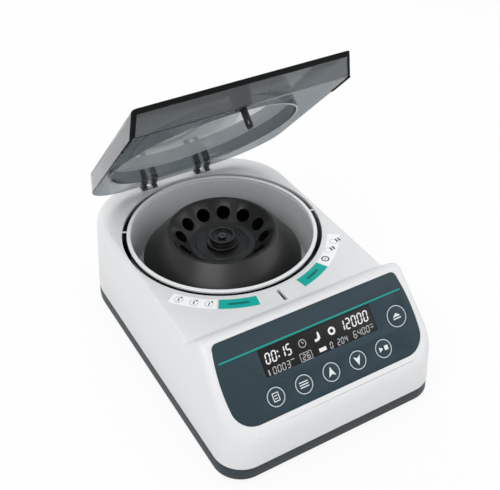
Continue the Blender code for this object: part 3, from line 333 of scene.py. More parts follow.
def dress(obj, material):
    obj.data.materials.clear()
    obj.data.materials.append(material)
    return obj


def fit(obj, body, slot, *nodes):
    """Puts a finished piece on its body, in place of its CAD nodes."""
    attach(obj, body)
    if nodes:
        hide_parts(*nodes)


slate_plastic = moulded("slate_abs", (0.024, 0.034, 0.041), 0.50, 0.0009, 0.25, shine=0.3)
tray = loft("tray", [housing_ring(FOOT_TOP_Z, TRAY_INSET), housing_ring(SEAM_Z - GAP, TRAY_INSET)])
hollow = loft("tray_inside", [housing_ring(FOOT_TOP_Z + TRAY_FLOOR, TRAY_INSET + TRAY_WALL),
                              housing_ring(SEAM_Z + TRAY_WALL, TRAY_INSET + TRAY_WALL)])
boolean(tray, hollow)
soften(tray, TRAY_EDGE, 3)
dress(smooth(tray), slate_plastic)
fit(tray, "housing", "slate_plastic", "base_tray")

# Upper housing
# The white shell is one moulding: a flat deck with large rear corners, side walls with draft, and
# a console at the front whose crest stands over the deck. Its edges are rolled, not sharp.
SHELL_WALL = 0.0030
CREST_Z = 0.0957
CREST_FRONT_Y = -0.0873
CREST_BACK_Y = -0.0815
CONSOLE_FOOT_Y = -0.0657
PANEL_TILT = math.radians(45.5)
PAST = 0.0100
LONG_CUT = 0.4000
SHELL_EDGE = 0.0003
EDGE_ROLL = 0.0055
ROLL_STEPS = 6
CREST_FRONT_SHARE = 0.30
CREST_BACK_SHARE = 0.50
CONSOLE_FOOT_SHARE = 0.35
SLOPE_FOOT_SHARE = 0.90


def offset_outline(points, distance):
    """Every side of a clockwise outline moved inwards by one distance."""
    moved = []
    count = len(points)
    for i in range(count):
        before, here, after = (Vector(points[k % count]) for k in (i - 1, i, i + 1))
        first = (here - before).normalized()
        second = (after - here).normalized()
        normal_one = Vector((first.y, -first.x))
        normal_two = Vector((second.y, -second.x))
        moved.append(here + (normal_one + normal_two) * distance / (1 + normal_one.dot(normal_two)))
    return moved


SIDE_VIEW = Euler((math.radians(90), 0, math.radians(90))).to_matrix().to_4x4()


def housing_block(name, inset, low):
    """The outline seen from above, cut to the outline seen from the side."""
    front, rear = FRONT_Y - PAST, REAR_Y + PAST
    foot = CREST_Z - (CREST_FRONT_Y - front) * math.tan(PANEL_TILT)
    profile = [(front, low), (front, foot), (CREST_FRONT_Y, CREST_Z), (CREST_BACK_Y, CREST_Z),
               (CONSOLE_FOOT_Y, DECK_Z), (rear, DECK_Z), (rear, low)]
    solid = loft(name, [housing_ring(low, inset), housing_ring(CREST_Z + PAST, inset)])
    side = prism(name + "_side", offset_outline(profile, inset), BODY_WIDTH + PAST)
    side.data.transform(SIDE_VIEW)
    return boolean(solid, side, "INTERSECT")


def roll_share(edge):
    """How much of the full roll an edge of the housing takes: less where it runs across the console."""
    low, high = (vert.co for vert in edge.verts)
    middle = (low + high) / 2
    if abs((high - low).normalized().x) < 0.99 or middle.y > REAR_Y - REAR_RADIUS:
        return 1.0
    if abs(middle.y - CREST_FRONT_Y) < GAP:
        return CREST_FRONT_SHARE
    if abs(middle.y - CREST_BACK_Y) < GAP:
        return CREST_BACK_SHARE
    if abs(middle.y - CONSOLE_FOOT_Y) < GAP:
        return CONSOLE_FOOT_SHARE
    return SLOPE_FOOT_SHARE


def roll_edges(obj, width, steps, share_of):
    """Bevels each edge by its own share of the width."""
    bm = bmesh.new()
    bm.from_mesh(obj.data)
    bmesh.ops.remove_doubles(bm, verts=bm.verts, dist=0.00001)
    weight = bm.edges.layers.float.new("bevel_weight_edge")
    for edge in bm.edges:
        if len(edge.link_faces) == 2 and abs(edge.calc_face_angle(0)) > math.radians(25):
            edge[weight] = share_of(edge)
    bm.to_mesh(obj.data)
    bm.free()
    return changed(obj, "BEVEL", width=width, segments=steps, limit_method="WEIGHT",
                   use_clamp_overlap=False)


DECK_HOLE_RADIUS = 0.0825
ROUND_STEPS = 144
PANEL_TOP_MARGIN = 0.0024
PANEL_LENGTH = 0.0628
PANEL_TOP_HALF = 0.0785
PANEL_SPREAD = 0.0027
PANEL_BOW = 0.0060
PANEL_TOP_RADIUS = 0.0045
PANEL_LOW_RADIUS = 0.0175
PANEL_STEPS = 12
PANEL_THICKNESS = 0.0020
PANEL_SINK = 0.0002
PANEL_LEDGE = 0.0015
PANEL_PLACE = (Matrix.Translation((0, CREST_FRONT_Y - PANEL_TOP_MARGIN * math.cos(PANEL_TILT),
                                   CREST_Z - PANEL_TOP_MARGIN * math.sin(PANEL_TILT)))
               @ Matrix.Rotation(PANEL_TILT, 4, "X"))


def panel_outline(grow):
    """The panel's outline on the slope: its sides bow out above the wide lower corners."""
    half, low = PANEL_TOP_HALF + grow, PANEL_LENGTH + grow
    top_radius, low_radius = PANEL_TOP_RADIUS + grow, PANEL_LOW_RADIUS + grow
    low_half = half + PANEL_SPREAD
    right = arc(low_half - low_radius, low_radius - low, low_radius, -90, 80, PANEL_STEPS)
    start = low_radius - low
    for step in range(1, PANEL_STEPS):
        share = step / PANEL_STEPS
        y = start + (grow - top_radius - start) * share
        right.append((low_half - PANEL_SPREAD * share + PANEL_BOW * share * (1 - share), y))
    right += arc(half - top_radius, grow - top_radius, top_radius, 0, 90, PANEL_STEPS)
    return right + [(-x, y) for x, y in reversed(right)]


def upright(x, y, z):
    return Matrix.Translation((x, y, z))


HINGE_Y = 0.1240
HINGE_Z = 0.0788
HINGE_X = 0.0262
POCKET_WIDTH = 0.0148
POCKET_DEPTH = 0.0084
HOOK_BACK = 0.0936
SLOT_Y = CHAMBER_Y - HOOK_BACK
SLOT_SIZE = (0.0030, 0.0128)
REAR_ROW_Z = 0.0330
INLET_X = 0.0200
INLET_SIZE = (0.0270, 0.0195)
SWITCH_X = -0.0200
SWITCH_SIZE = (0.0130, 0.0190)
VENTS = 7
VENT_PITCH = 0.0070
VENT_SIZE = (0.0026, 0.0140)
VENT_Z = 0.0600

white_plastic = moulded("white_abs", (0.770, 0.770, 0.765), 0.36, 0.0007, 0.10, 0.06, 0.015)
shell = housing_block("shell", 0, -PAST)
roll_edges(shell, EDGE_ROLL, ROLL_STEPS, roll_share)
boolean(shell, housing_block("shell_inside", SHELL_WALL, -PAST * 2))
boolean(shell, block("below_seam", (BODY_WIDTH + PAST, LONG_CUT, SEAM_Z + PAST * 2),
                     (0, 0, SEAM_Z / 2 - PAST)))
boolean(shell, cylinder("deck_hole", DECK_HOLE_RADIUS, PAST * 2,
                        upright(0, CHAMBER_Y, DECK_Z - PAST), ROUND_STEPS))
for name, grow, depth in (("seat", GAP, (PANEL_SINK + PANEL_THICKNESS + GAP) * 2),
                          ("opening", -PANEL_LEDGE, PAST * 2)):
    cutter = prism("panel_" + name, panel_outline(grow), depth)
    cutter.data.transform(PANEL_PLACE)
    boolean(shell, cutter)
boolean(shell, block("latch_slot", (*SLOT_SIZE, PAST * 2), (0, SLOT_Y, DECK_Z)))
for side in (-1, 1):
    boolean(shell, block("hinge_pocket", (POCKET_WIDTH, POCKET_DEPTH, PAST * 2),
                         (side * HINGE_X, HINGE_Y, DECK_Z)))
for name, x, size in (("inlet_hole", INLET_X, INLET_SIZE), ("switch_hole", SWITCH_X, SWITCH_SIZE)):
    boolean(shell, block(name, (size[0] + GAP * 2, PAST * 2, size[1] + GAP * 2), (x, REAR_Y, REAR_ROW_Z)))
for k in range(VENTS):
    x = (k - (VENTS - 1) / 2) * VENT_PITCH
    boolean(shell, block("vent", (VENT_SIZE[0], PAST * 2, VENT_SIZE[1]), (x, REAR_Y, VENT_Z)))
soften(shell, SHELL_EDGE, 2, 50)
dress(smooth(shell), white_plastic)
fit(shell, "housing", "white_shell", "upper_shell")

# Deck labels
# Printed film labels lie round the chamber's mouth: a white one with three small round marks, two
# teal bands and three more marks on the right. They carry plain bars and rings in grey and dark teal.
LABEL_HEIGHT = 0.00008
LABEL_INNER = 0.0867
LABEL_OUTER = 0.0968
LABEL_MIDDLE = (LABEL_INNER + LABEL_OUTER) / 2
TEAL_BANDS = ((-120.4, -101.6), (-77.8, -60.2))
WHITE_BANDS = ((-143.6, -121.2), (-59.4, -34.5))
BAR_HALF = 0.0011
BAR_MARGIN = 4.5
LEFT_MARKS = (-139.5, -132.0, -124.8)
# A ring gives its radius and width; a bar gives both its ends from the mark's centre and its width.
LEFT_RING = (0.0034, 0.0005)
LEFT_BARS = ((-0.0013, -0.0013, 0.0013, 0.0013, 0.0009), (0.0022, 0.0004, 0.0038, 0.0014, 0.0009))
RIGHT_MARKS = ((0.052, -0.075), (0.063, -0.067), (0.073, -0.060))
FULL_RING = (0.0033, 0.0011)
FULL_BARS = ((-0.0006, 0, 0.0006, 0, 0.0012),)
RIGHT_RING = (0.0030, 0.0004)
RIGHT_RING_BACK = 0.0030
RIGHT_BARS = ((0, -0.0020, 0, 0.0020, 0.0015), (0.0026, -0.0016, 0.0026, 0.0024, 0.0015))


def sector(inner, outer, start, end, steps=16):
    """A piece of a ring round the origin, anticlockwise."""
    far = arc(0, 0, outer, start, end - start, steps)
    near = arc(0, 0, inner, start, end - start, steps)
    return far + near[::-1]


def ring_pieces(x, y, outer, width, parts=24):
    """A printed ring as short pieces of band."""
    pieces = []
    for k in range(parts):
        piece = sector(outer - width, outer, 360 * k / parts, 360 * (k + 1) / parts, 2)
        pieces.append([(px + x, py + y) for px, py in piece])
    return pieces


def bar(x0, y0, x1, y1, width):
    """A straight printed stroke from one point to another."""
    along = Vector((x1 - x0, y1 - y0))
    side = Vector((-along.y, along.x)).normalized() * width / 2
    a, b = Vector((x0, y0)), Vector((x1, y1))
    return [tuple(p) for p in (a - side, b - side, b + side, a + side)]


def mark(x, y, ring, bars, every=2, back=0):
    """A printed sign: a ring, which is dashed when every is 2, and the bars in or beside it."""
    strokes = [bar(x + x0, y + y0, x + x1, y + y1, width) for x0, y0, x1, y1, width in bars]
    return ring_pieces(x - back, y, *ring)[::every] + strokes


def add_marks(bm, outlines, low, high, index, place):
    """Thin closed prisms of ink, all with one material index."""
    for outline in outlines:
        rows = [[bm.verts.new(place @ Vector((x, y, z))) for x, y in outline] for z in (low, high)]
        count = len(outline)
        faces = [bm.faces.new(rows[0][::-1]), bm.faces.new(rows[1])]
        for i in range(count):
            j = (i + 1) % count
            faces.append(bm.faces.new((rows[0][i], rows[0][j], rows[1][j], rows[1][i])))
        for face in faces:
            face.material_index = index


def printed(name, layers, place):
    """One object from layers of (outlines, low, high, material)."""
    bm = bmesh.new()
    for index, (outlines, low, high, _) in enumerate(layers):
        add_marks(bm, outlines, low, high, index, place)
    obj = new_object(name, bm)
    for layer in layers:
        obj.data.materials.append(layer[3])
    return obj


def make_ink(name, colour, roughness, shine=0.3):
    return moulded(name, colour, roughness, 0.0004, 0.05, 0.08, 0.04, shine)


teal_film = make_ink("teal_film", (0.004, 0.400, 0.340), 0.42, 0.2)
white_film = make_ink("white_film", (0.960, 0.962, 0.955), 0.30)
grey_ink = make_ink("grey_ink", (0.060, 0.062, 0.066), 0.45)
deep_teal_ink = make_ink("deep_teal_ink", (0.004, 0.130, 0.120), 0.45)

bands = [sector(LABEL_INNER, LABEL_OUTER, *span) for span in TEAL_BANDS]
white_bands = [sector(LABEL_INNER, LABEL_OUTER, *span) for span in WHITE_BANDS]
bars = [sector(LABEL_MIDDLE - BAR_HALF, LABEL_MIDDLE + BAR_HALF, start + BAR_MARGIN, end - BAR_MARGIN)
        for start, end in TEAL_BANDS]
marks = mark(*RIGHT_MARKS[0], FULL_RING, FULL_BARS, 1)
for angle in LEFT_MARKS:
    a = math.radians(angle)
    marks += mark(LABEL_MIDDLE * math.cos(a), LABEL_MIDDLE * math.sin(a), LEFT_RING, LEFT_BARS)
for spot in RIGHT_MARKS[1:]:
    marks += mark(*spot, RIGHT_RING, RIGHT_BARS, back=RIGHT_RING_BACK)
labels = printed("deck_labels", [
    (bands, 0, LABEL_HEIGHT, teal_film), (white_bands, 0, LABEL_HEIGHT, white_film),
    (bars, LABEL_HEIGHT / 2, LABEL_HEIGHT * 1.5, deep_teal_ink),
    (marks, LABEL_HEIGHT / 2, LABEL_HEIGHT * 1.5, grey_ink)], upright(0, CHAMBER_Y, DECK_Z))
fit(labels, "housing", "white_shell")

# Control panel
# A flat moulded plate covered by a matt printed film, let into the console's slope with a fine joint
# line. A teal line crosses it, and the window and the keys have their own close openings.
WINDOW_HALF = 0.0477
WINDOW_TOP = 0.0155
WINDOW_HEIGHT = 0.0198
KEY_RADIUS = 0.00730
KEY_ROW = 0.0499
KEY_PITCH = 0.0232
OPEN_KEY_RADIUS = 0.0086
OPEN_KEY_X = 0.0665
OPEN_KEY_ROW = 0.0319
KEYS = [(name, KEY_PITCH * column, KEY_ROW, KEY_RADIUS) for column, name in enumerate(
    ("key_program", "key_menu", "key_up", "key_down", "key_start_stop"), -2)]
KEYS.append(("key_open", OPEN_KEY_X, OPEN_KEY_ROW, OPEN_KEY_RADIUS))
KEY_STEPS = 64
TEAL_LINE_Y = 0.0140
TEAL_LINE_WIDTH = 0.0011
TEAL_LINE_MARGIN = 0.0010
PANEL_EDGE = 0.00015
PANEL_FACE = -PANEL_SINK
PRINT_TOP = PANEL_FACE + LABEL_HEIGHT / 2
FILM_GRAIN = (0.0005, 0.12, 0.05, 0.05, 0.3)

panel_film = moulded("panel_film", (0.0150, 0.0340, 0.0465), 0.45, *FILM_GRAIN)
panel = prism("panel", panel_outline(0), PANEL_THICKNESS)
panel.data.transform(Matrix.Translation((0, 0, PANEL_FACE - PANEL_THICKNESS / 2)))
window_y = -WINDOW_TOP - WINDOW_HEIGHT / 2
boolean(panel, block("window_hole", (WINDOW_HALF * 2, WINDOW_HEIGHT, PAST), (0, window_y, 0)))
for name, x, row, radius in KEYS:
    boolean(panel, cylinder("hole", radius + GAP, PAST, upright(x, -row, -PAST / 2), KEY_STEPS))
soften(panel, PANEL_EDGE, 2, 40)
panel.data.transform(PANEL_PLACE)
dress(smooth(panel), panel_film)
fit(panel, "housing", "panel_film", "control_panel")
line_ink = make_ink("teal_line_ink", (0.006, 0.330, 0.270), 0.42, 0.2)
line_end = PANEL_TOP_HALF - TEAL_LINE_MARGIN
line_bar = bar(-line_end, -TEAL_LINE_Y, line_end, -TEAL_LINE_Y, TEAL_LINE_WIDTH)
teal_line = printed("panel_line", [([line_bar], PANEL_FACE, PRINT_TOP, line_ink)], PANEL_PLACE)
fit(teal_line, "housing", "panel_film")

# Display window
# A black glossy window over a segment display. The lit digits and marks are pale; the numbers are
# plain ones for a time at the left and a speed at the right.
SEGMENTS = {"0": "abcdef", "1": "bc", "2": "abged", "3": "abgcd", "4": "fgbc", "5": "afgcd",
            "6": "afgedc", "7": "abc", "8": "abcdefg", "9": "abcdfg", " ": ""}
SEGMENT_LEAN = 0.12
SEGMENT_GAP_SHARE = 0.10
DIGIT_WIDTH_SHARE = 0.80
WINDOW_EDGE = 0.0003
# A number gives its text, left edge, foot, pitch and height; a ring gives its centre, radius and width.
BIG_STROKE = 0.0010
BIG_NUMBERS = (("00", -0.0446, -0.0272, 0.0051, 0.0080), ("15", -0.0325, -0.0272, 0.0051, 0.0083),
               ("12000", 0.0185, -0.0268, 0.0052, 0.0083))
BIG_RING = (0.0118, -0.0229, 0.0030, 0.0015)
BIG_BARS = ((-0.0334, -0.0254, -0.0334, -0.0242, 0.0011), (-0.0334, -0.0218, -0.0334, -0.0206, 0.0011),
            (-0.0028, -0.0326, 0.0032, -0.0326, 0.0027))
HOOKED_SIGN = [(0.0001, -0.0196), (0.0014, -0.0196), (0.0016, -0.0242), (-0.0002, -0.0257),
               (-0.0034, -0.0259), (-0.0034, -0.0241), (-0.0006, -0.0237)]
SMALL_STROKE = 0.0007
SMALL_NUMBERS = (("0003", -0.0420, -0.0353, 0.0038, 0.0053), ("26", -0.0172, -0.0345, 0.0036, 0.0042),
                 ("0 204", 0.0062, -0.0350, 0.0032, 0.0051), ("6400", 0.0268, -0.0348, 0.0038, 0.0053))
CLOCK_RING = (-0.0134, -0.0230, 0.0031, 0.0006)
SMALL_BARS = ((-0.0446, -0.0348, -0.0446, -0.0308, 0.0011), (-0.0262, -0.0304, -0.0232, -0.0304, 0.0007),
              (-0.0134, -0.0230, -0.0134, -0.0212, 0.0006), (-0.0134, -0.0230, -0.0121, -0.0230, 0.0006),
              (-0.0186, -0.0295, -0.0091, -0.0295, 0.0005), (-0.0186, -0.0352, -0.0091, -0.0352, 0.0005),
              (-0.0186, -0.0295, -0.0186, -0.0352, 0.0005), (-0.0091, -0.0295, -0.0091, -0.0352, 0.0005),
              (0.0428, -0.0300, 0.0452, -0.0300, 0.0007), (0.0428, -0.0320, 0.0452, -0.0320, 0.0007))


def segment(x0, y0, x1, y1, width):
    """One stroke with pointed ends, so that neighbours meet on a mitre."""
    start, end = Vector((x0, y0)), Vector((x1, y1))
    along = (end - start).normalized() * width / 2
    side = Vector((-along.y, along.x))
    return [tuple(p) for p in (start, start + along - side, end - along - side, end,
                               end - along + side, start + along + side)]


def digit(character, x, y, width, height, stroke):
    """Seven-segment strokes of one digit; x, y is its lower left corner."""
    half, low, high = height / 2, stroke / 2, height - stroke / 2
    left, right = stroke / 2, width - stroke / 2
    gap = stroke * SEGMENT_GAP_SHARE
    ends = {"a": (left + gap, high, right - gap, high), "g": (left + gap, half, right - gap, half),
            "d": (left + gap, low, right - gap, low), "f": (left, half + gap, left, high - gap),
            "b": (right, half + gap, right, high - gap), "e": (left, low + gap, left, half - gap),
            "c": (right, low + gap, right, half - gap)}
    strokes = []
    for letter in SEGMENTS[character]:
        strokes.append([(x + px + SEGMENT_LEAN * py, y + py) for px, py in segment(*ends[letter], stroke)])
    return strokes


def window_print(numbers, stroke, ring, bars):
    """The outlines of all that has one brightness."""
    outlines = ring_pieces(*ring) + [bar(*ends) for ends in bars]
    for text, x, y, pitch, height in numbers:
        for k, character in enumerate(text):
            outlines += digit(character, x + k * pitch, y, pitch * DIGIT_WIDTH_SHARE, height, stroke)
    return outlines


window_black = moulded("window_black", (0.009, 0.009, 0.009), 0.22, 0.0030, 0.02, 0.03, 0.10, 0.2)
window = block("window", (WINDOW_HALF * 2 - GAP * 2, WINDOW_HEIGHT - GAP * 2, PANEL_THICKNESS),
               (0, window_y, PANEL_FACE - PANEL_THICKNESS / 2))
soften(window, WINDOW_EDGE, 3)
window.data.transform(PANEL_PLACE)
dress(smooth(window), window_black)
fit(window, "housing", "window_black", "display_window")

lit = make_ink("lit_segments", (0.72, 0.72, 0.70), 0.45)
feed(lit.node_tree, lit.node_tree.nodes["Principled BSDF"], {
    "Emission Color": (0.9, 0.92, 0.9, 1), "Emission Strength": 0.12})
dim_lit = make_ink("dim_segments", (0.42, 0.42, 0.42), 0.45)
big = window_print(BIG_NUMBERS, BIG_STROKE, BIG_RING, BIG_BARS) + [HOOKED_SIGN]
small = window_print(SMALL_NUMBERS, SMALL_STROKE, CLOCK_RING, SMALL_BARS)
digits = printed("display_digits", [(big, PANEL_FACE, PRINT_TOP, lit),
                                    (small, PANEL_FACE, PRINT_TOP, dim_lit)], PANEL_PLACE)
fit(digits, "housing", "window_black")

# Keys
# Six round caps under the film, each in its own hole with a fine joint line. A pale ring is printed
# round each cap, and a plain sign stands for what it does: page, list, up, down, start or stop, open.
KEY_DEPTH = 0.0106
KEY_EDGE = 0.0004
RING_INSET = 0.00025
RING_STROKE = 0.00080
RING_PARTS = 48
pale_ink = make_ink("pale_ink", (0.47, 0.53, 0.56), 0.42)
white_ink = make_ink("white_ink", (0.78, 0.80, 0.80), 0.42)
key_film = moulded("key_film", (0.0155, 0.0350, 0.0475), 0.43, *FILM_GRAIN)
MILLIMETRE = 0.001
SIGNS_IN_MM = {
    "key_program": [bar(-2.2, y, 2.2, y, 0.6) for y in (-2.9, 2.9)]
                   + [bar(x, -3.2, x, 3.2, 0.6) for x in (-2.2, 2.2)]
                   + [bar(-1.2, y, 1.2, y, 0.6) for y in (-1.1, 0.9)],
    "key_menu": [bar(-3.6, y, 3.6, y, 0.75) for y in (-1.8, 0, 1.8)],
    "key_up": [[(0, 3.9), (-3.0, -3.2), (0, -1.5), (3.0, -3.2)]],
    "key_down": [[(0, -3.9), (3.0, 3.2), (0, 1.5), (-3.0, 3.2)]],
    "key_start_stop": [[(-3.6, 2.0), (-3.6, -2.0), (-0.4, 0)], bar(0.8, 0, 4.0, 0, 3.4)],
    "key_open": [[(-3.4, -0.2), (3.4, -0.2), (0, 2.6)], bar(-3.4, -1.6, 3.4, -1.6, 0.9)],
}


def turned(name, profile, steps, place, ring=False):
    """Turns a profile of (radius, height) about Z; a ring's profile is closed and off the axis."""
    bm = bmesh.new()
    columns = []
    for k in range(steps):
        a = 2 * math.pi * k / steps
        columns.append([bm.verts.new(place @ Vector((r * math.cos(a), r * math.sin(a), z)))
                        for r, z in profile])
    last = len(profile) if ring else len(profile) - 1
    for k in range(steps):
        here, there = columns[k], columns[(k + 1) % steps]
        for i in range(last):
            j = (i + 1) % len(profile)
            bm.faces.new((here[i], there[i], there[j], here[j]))
    bmesh.ops.remove_doubles(bm, verts=bm.verts, dist=0.000001)
    bmesh.ops.dissolve_degenerate(bm, edges=bm.edges, dist=0.000001)
    return new_object(name, bm)


def rounded(points, radius, steps=4, closed=True):
    """Swaps each corner of a profile for a small arc; a corner too short for it keeps its own."""
    made = []
    count = len(points)
    for i in range(count):
        here = Vector(points[i])
        if not closed and i in (0, count - 1):
            made.append(tuple(here))
            continue
        before, after = Vector(points[i - 1]) - here, Vector(points[(i + 1) % count]) - here
        reach = min(radius, before.length * 0.45, after.length * 0.45)
        a, b = here + before.normalized() * reach, here + after.normalized() * reach
        for k in range(steps + 1):
            t = k / steps
            made.append(tuple(a * (1 - t) ** 2 + here * 2 * t * (1 - t) + b * t ** 2))
    return made


for name, x, row, radius in KEYS:
    profile = [(0, 0), (radius - KEY_EDGE, 0), (radius - KEY_EDGE / 4, -KEY_EDGE / 4), (radius, -KEY_EDGE),
               (radius, -KEY_DEPTH), (0, -KEY_DEPTH)]
    place = PANEL_PLACE @ upright(x, -row, 0)
    cap = dress(turned(name + "_cap", profile, KEY_STEPS, place), key_film)
    ring = ring_pieces(0, 0, radius - RING_INSET, RING_STROKE, RING_PARTS)
    strokes = [[(px * MILLIMETRE, py * MILLIMETRE) for px, py in stroke] for stroke in SIGNS_IN_MM[name]]
    sign = printed(name + "_sign", [
        (ring, 0, LABEL_HEIGHT / 2, pale_ink), (strokes, 0, LABEL_HEIGHT / 2, white_ink)], place)
    smooth(cap)
    fit(cap, name + "_cap", "key_film", name)
    fit(sign, name + "_cap", "key_film")

# Chamber bowl
# A deep bowl pressed from sheet and coated satin grey inside; the rotor turns in it.
BOWL_RADIUS = 0.0753
BOWL_WALL = 0.0018
BOWL_DEPTH = 0.0440
BOWL_HOLE_RADIUS = 0.0090
RIM_OUTER_RADIUS = 0.0786
RIM_HEIGHT = 0.0020
RIM_PROUD = 0.0005
BOWL_ROUND = 0.0040
CHAMBER = upright(0, CHAMBER_Y, DECK_Z)
rim_low = RIM_PROUD - RIM_HEIGHT
outer, low = BOWL_RADIUS + BOWL_WALL, -BOWL_DEPTH - BOWL_WALL
profile = [(BOWL_RADIUS, rim_low - GAP), (RIM_OUTER_RADIUS, rim_low - GAP),
           (RIM_OUTER_RADIUS, rim_low - GAP - BOWL_WALL), (outer, rim_low - GAP - BOWL_WALL),
           (outer, low), (BOWL_HOLE_RADIUS, low), (BOWL_HOLE_RADIUS, -BOWL_DEPTH),
           (BOWL_RADIUS, -BOWL_DEPTH)]


def vector(tree, **parts):
    """A vector from numbers or sockets for X, Y and Z, of which those not given are 0."""
    return node(tree, "ShaderNodeCombineXYZ", parts).outputs[0]


GLOSS_SPREAD = 0.05
TONE_SPREAD = 0.08
TURNED_CLOUD_SCALE = 40


def spun_metal(name, colour, roughness, metallic, line_scale, depth, shine=0.5):
    """Metal or coating with fine turned rings about the chamber's axis and cloudy gloss."""
    material, shader = principled(name, colour, roughness, metallic)
    tree = material.node_tree
    place = node(tree, "ShaderNodeTexCoord").outputs["Object"]
    centre = node(tree, "ShaderNodeMapping", {"Vector": place, "Location": (0, -CHAMBER_Y, 0)})
    parts = node(tree, "ShaderNodeSeparateXYZ", {0: centre.outputs["Vector"]}).outputs
    radius = node(tree, "ShaderNodeVectorMath", {0: vector(tree, X=parts["X"], Y=parts["Y"])},
                  operation="LENGTH").outputs["Value"]
    lines = node(tree, "ShaderNodeTexNoise", {
        "Vector": vector(tree, X=radius, Y=parts["Z"]), "Scale": line_scale, "Detail": 2}).outputs["Fac"]
    cloud = node(tree, "ShaderNodeTexNoise", {"Vector": place, "Scale": TURNED_CLOUD_SCALE, "Detail": 4})
    gloss = node(tree, "ShaderNodeMapRange", {
        "Value": cloud.outputs["Fac"], "To Min": roughness - GLOSS_SPREAD,
        "To Max": roughness + GLOSS_SPREAD})
    dark, light = ([min(1, c * (1 + spread)) for c in colour] for spread in (-TONE_SPREAD, TONE_SPREAD))
    tone = node(tree, "ShaderNodeMix", {0: lines, 6: (*dark, 1), 7: (*light, 1)}, data_type="RGBA")
    bump = node(tree, "ShaderNodeBump", {"Strength": depth, "Distance": BUMP_DISTANCE, "Height": lines})
    feed(tree, shader, {
        "Specular IOR Level": shine, "Base Color": tone.outputs[2], "Roughness": gloss.outputs["Result"],
        "Normal": bump.outputs["Normal"]})
    return material


bowl_grey = spun_metal("bowl_grey", (0.780, 0.785, 0.785), 0.38, 0.0, 900, 0.12)
bowl = turned("bowl", rounded(profile, BOWL_ROUND, 6), ROUND_STEPS, CHAMBER, True)
dress(smooth(bowl), bowl_grey)
fit(bowl, "housing", "bowl_grey", "chamber_bowl")

# Bowl rim
# A white moulded ring clipped over the bowl's edge, slightly proud of the deck, with a dark air gap
# between it and the deck.
RIM_ROUND = 0.0009
profile = [(BOWL_RADIUS, rim_low), (BOWL_RADIUS, RIM_PROUD), (RIM_OUTER_RADIUS, RIM_PROUD),
           (RIM_OUTER_RADIUS, rim_low)]
rim_white = moulded("rim_white", (0.850, 0.850, 0.845), 0.28, 0.0006, 0.06, 0.05, 0.02)
rim = turned("rim", rounded(profile, RIM_ROUND, 5), ROUND_STEPS, CHAMBER, True)
dress(smooth(rim), rim_white)
fit(rim, "housing", "rim_white", "bowl_rim")

# Rim gap shade
# A thin near-black band round the rim's foot: painted shade that darkens the air gap under the deck's
# edge.
GAP_SHADE_WIDTH = 0.0005
GAP_SHADE_TOP = -0.0015
GAP_SHADE_CLEAR = 0.00005
gap_shade_low = rim_low - GAP - BOWL_WALL
inner, outer = RIM_OUTER_RADIUS + GAP_SHADE_CLEAR, RIM_OUTER_RADIUS + GAP_SHADE_WIDTH
profile = [(inner, gap_shade_low), (inner, GAP_SHADE_TOP), (outer, GAP_SHADE_TOP), (outer, gap_shade_low)]
# This near-black band is painted shade in the air gap under the deck's edge.
gap_shade_black = moulded("gap_shade_black", (0.004, 0.004, 0.004), 0.80, 0.0005, 0.20, 0.08, 0.05, 0.1)
gap_shade_band = dress(smooth(turned("rim_gap_shade", profile, ROUND_STEPS, CHAMBER, True)), gap_shade_black)
fit(gap_shade_band, "housing", "rubber")

# Rim tongues
# Two small white tongues, moulded with the rim, bridge the air gap at the sides.
TONGUE_ANGLES = (152.0, -10.0)
TONGUE_WIDTH = 0.0012
TONGUE_THICKNESS = 0.0008
TONGUE_OVERLAP = 0.0004
tongues = []
for angle in TONGUE_ANGLES:
    outwards = Vector((math.cos(math.radians(angle)), math.sin(math.radians(angle))))
    start, end = outwards * (RIM_OUTER_RADIUS - TONGUE_OVERLAP), outwards * DECK_HOLE_RADIUS
    tongues.append(bar(*start, *end, TONGUE_WIDTH))
tongue = printed("rim_tongues", [(tongues, rim_low, rim_low + TONGUE_THICKNESS, rim_white)], CHAMBER)
fit(tongue, "housing", "rim_white")

# Rotor
# A fixed-angle rotor turned from aluminium and anodised black: a wide mouth with a cone inside, a
# skirt outside, and twelve round sockets bored square to the cone for micro tubes. Inside, the sockets
# are a darker, duller black: painted shade in the deep bores.
MOUTH_RADIUS = 0.0435
MOUTH_LAND = 0.0020
MOUTH_RISE = 0.0003
WELL_RADIUS = 0.0272
WELL_DEPTH = 0.0140
SKIRT_RADIUS = 0.0665
SKIRT_DROP = 0.0244
ROTOR_DROP = 0.0360
SOCKETS = 12
SOCKET_RADIUS = 0.00590
SOCKET_LIP = 0.0006
SOCKET_CIRCLE = 0.0341
SOCKET_LENGTH = 0.0280
GROOVE_RADIUS = 0.0222
GROOVE_DEPTH = 0.0006
BORE_STEPS = 48
ROTOR_ROUND = 0.0006
ROTOR_EDGE = 0.00035


def grow(name, tree, values):
    """Runs a tree once and keeps its result as a plain mesh."""
    obj = new_object(name, bmesh.new())
    modifier = obj.modifiers.new("grow", "NODES")
    modifier.node_group = tree
    for item in tree.interface.items_tree:
        if item.in_out == "INPUT" and item.name in values:
            modifier[item.identifier] = values[item.name]
    return settle(obj)


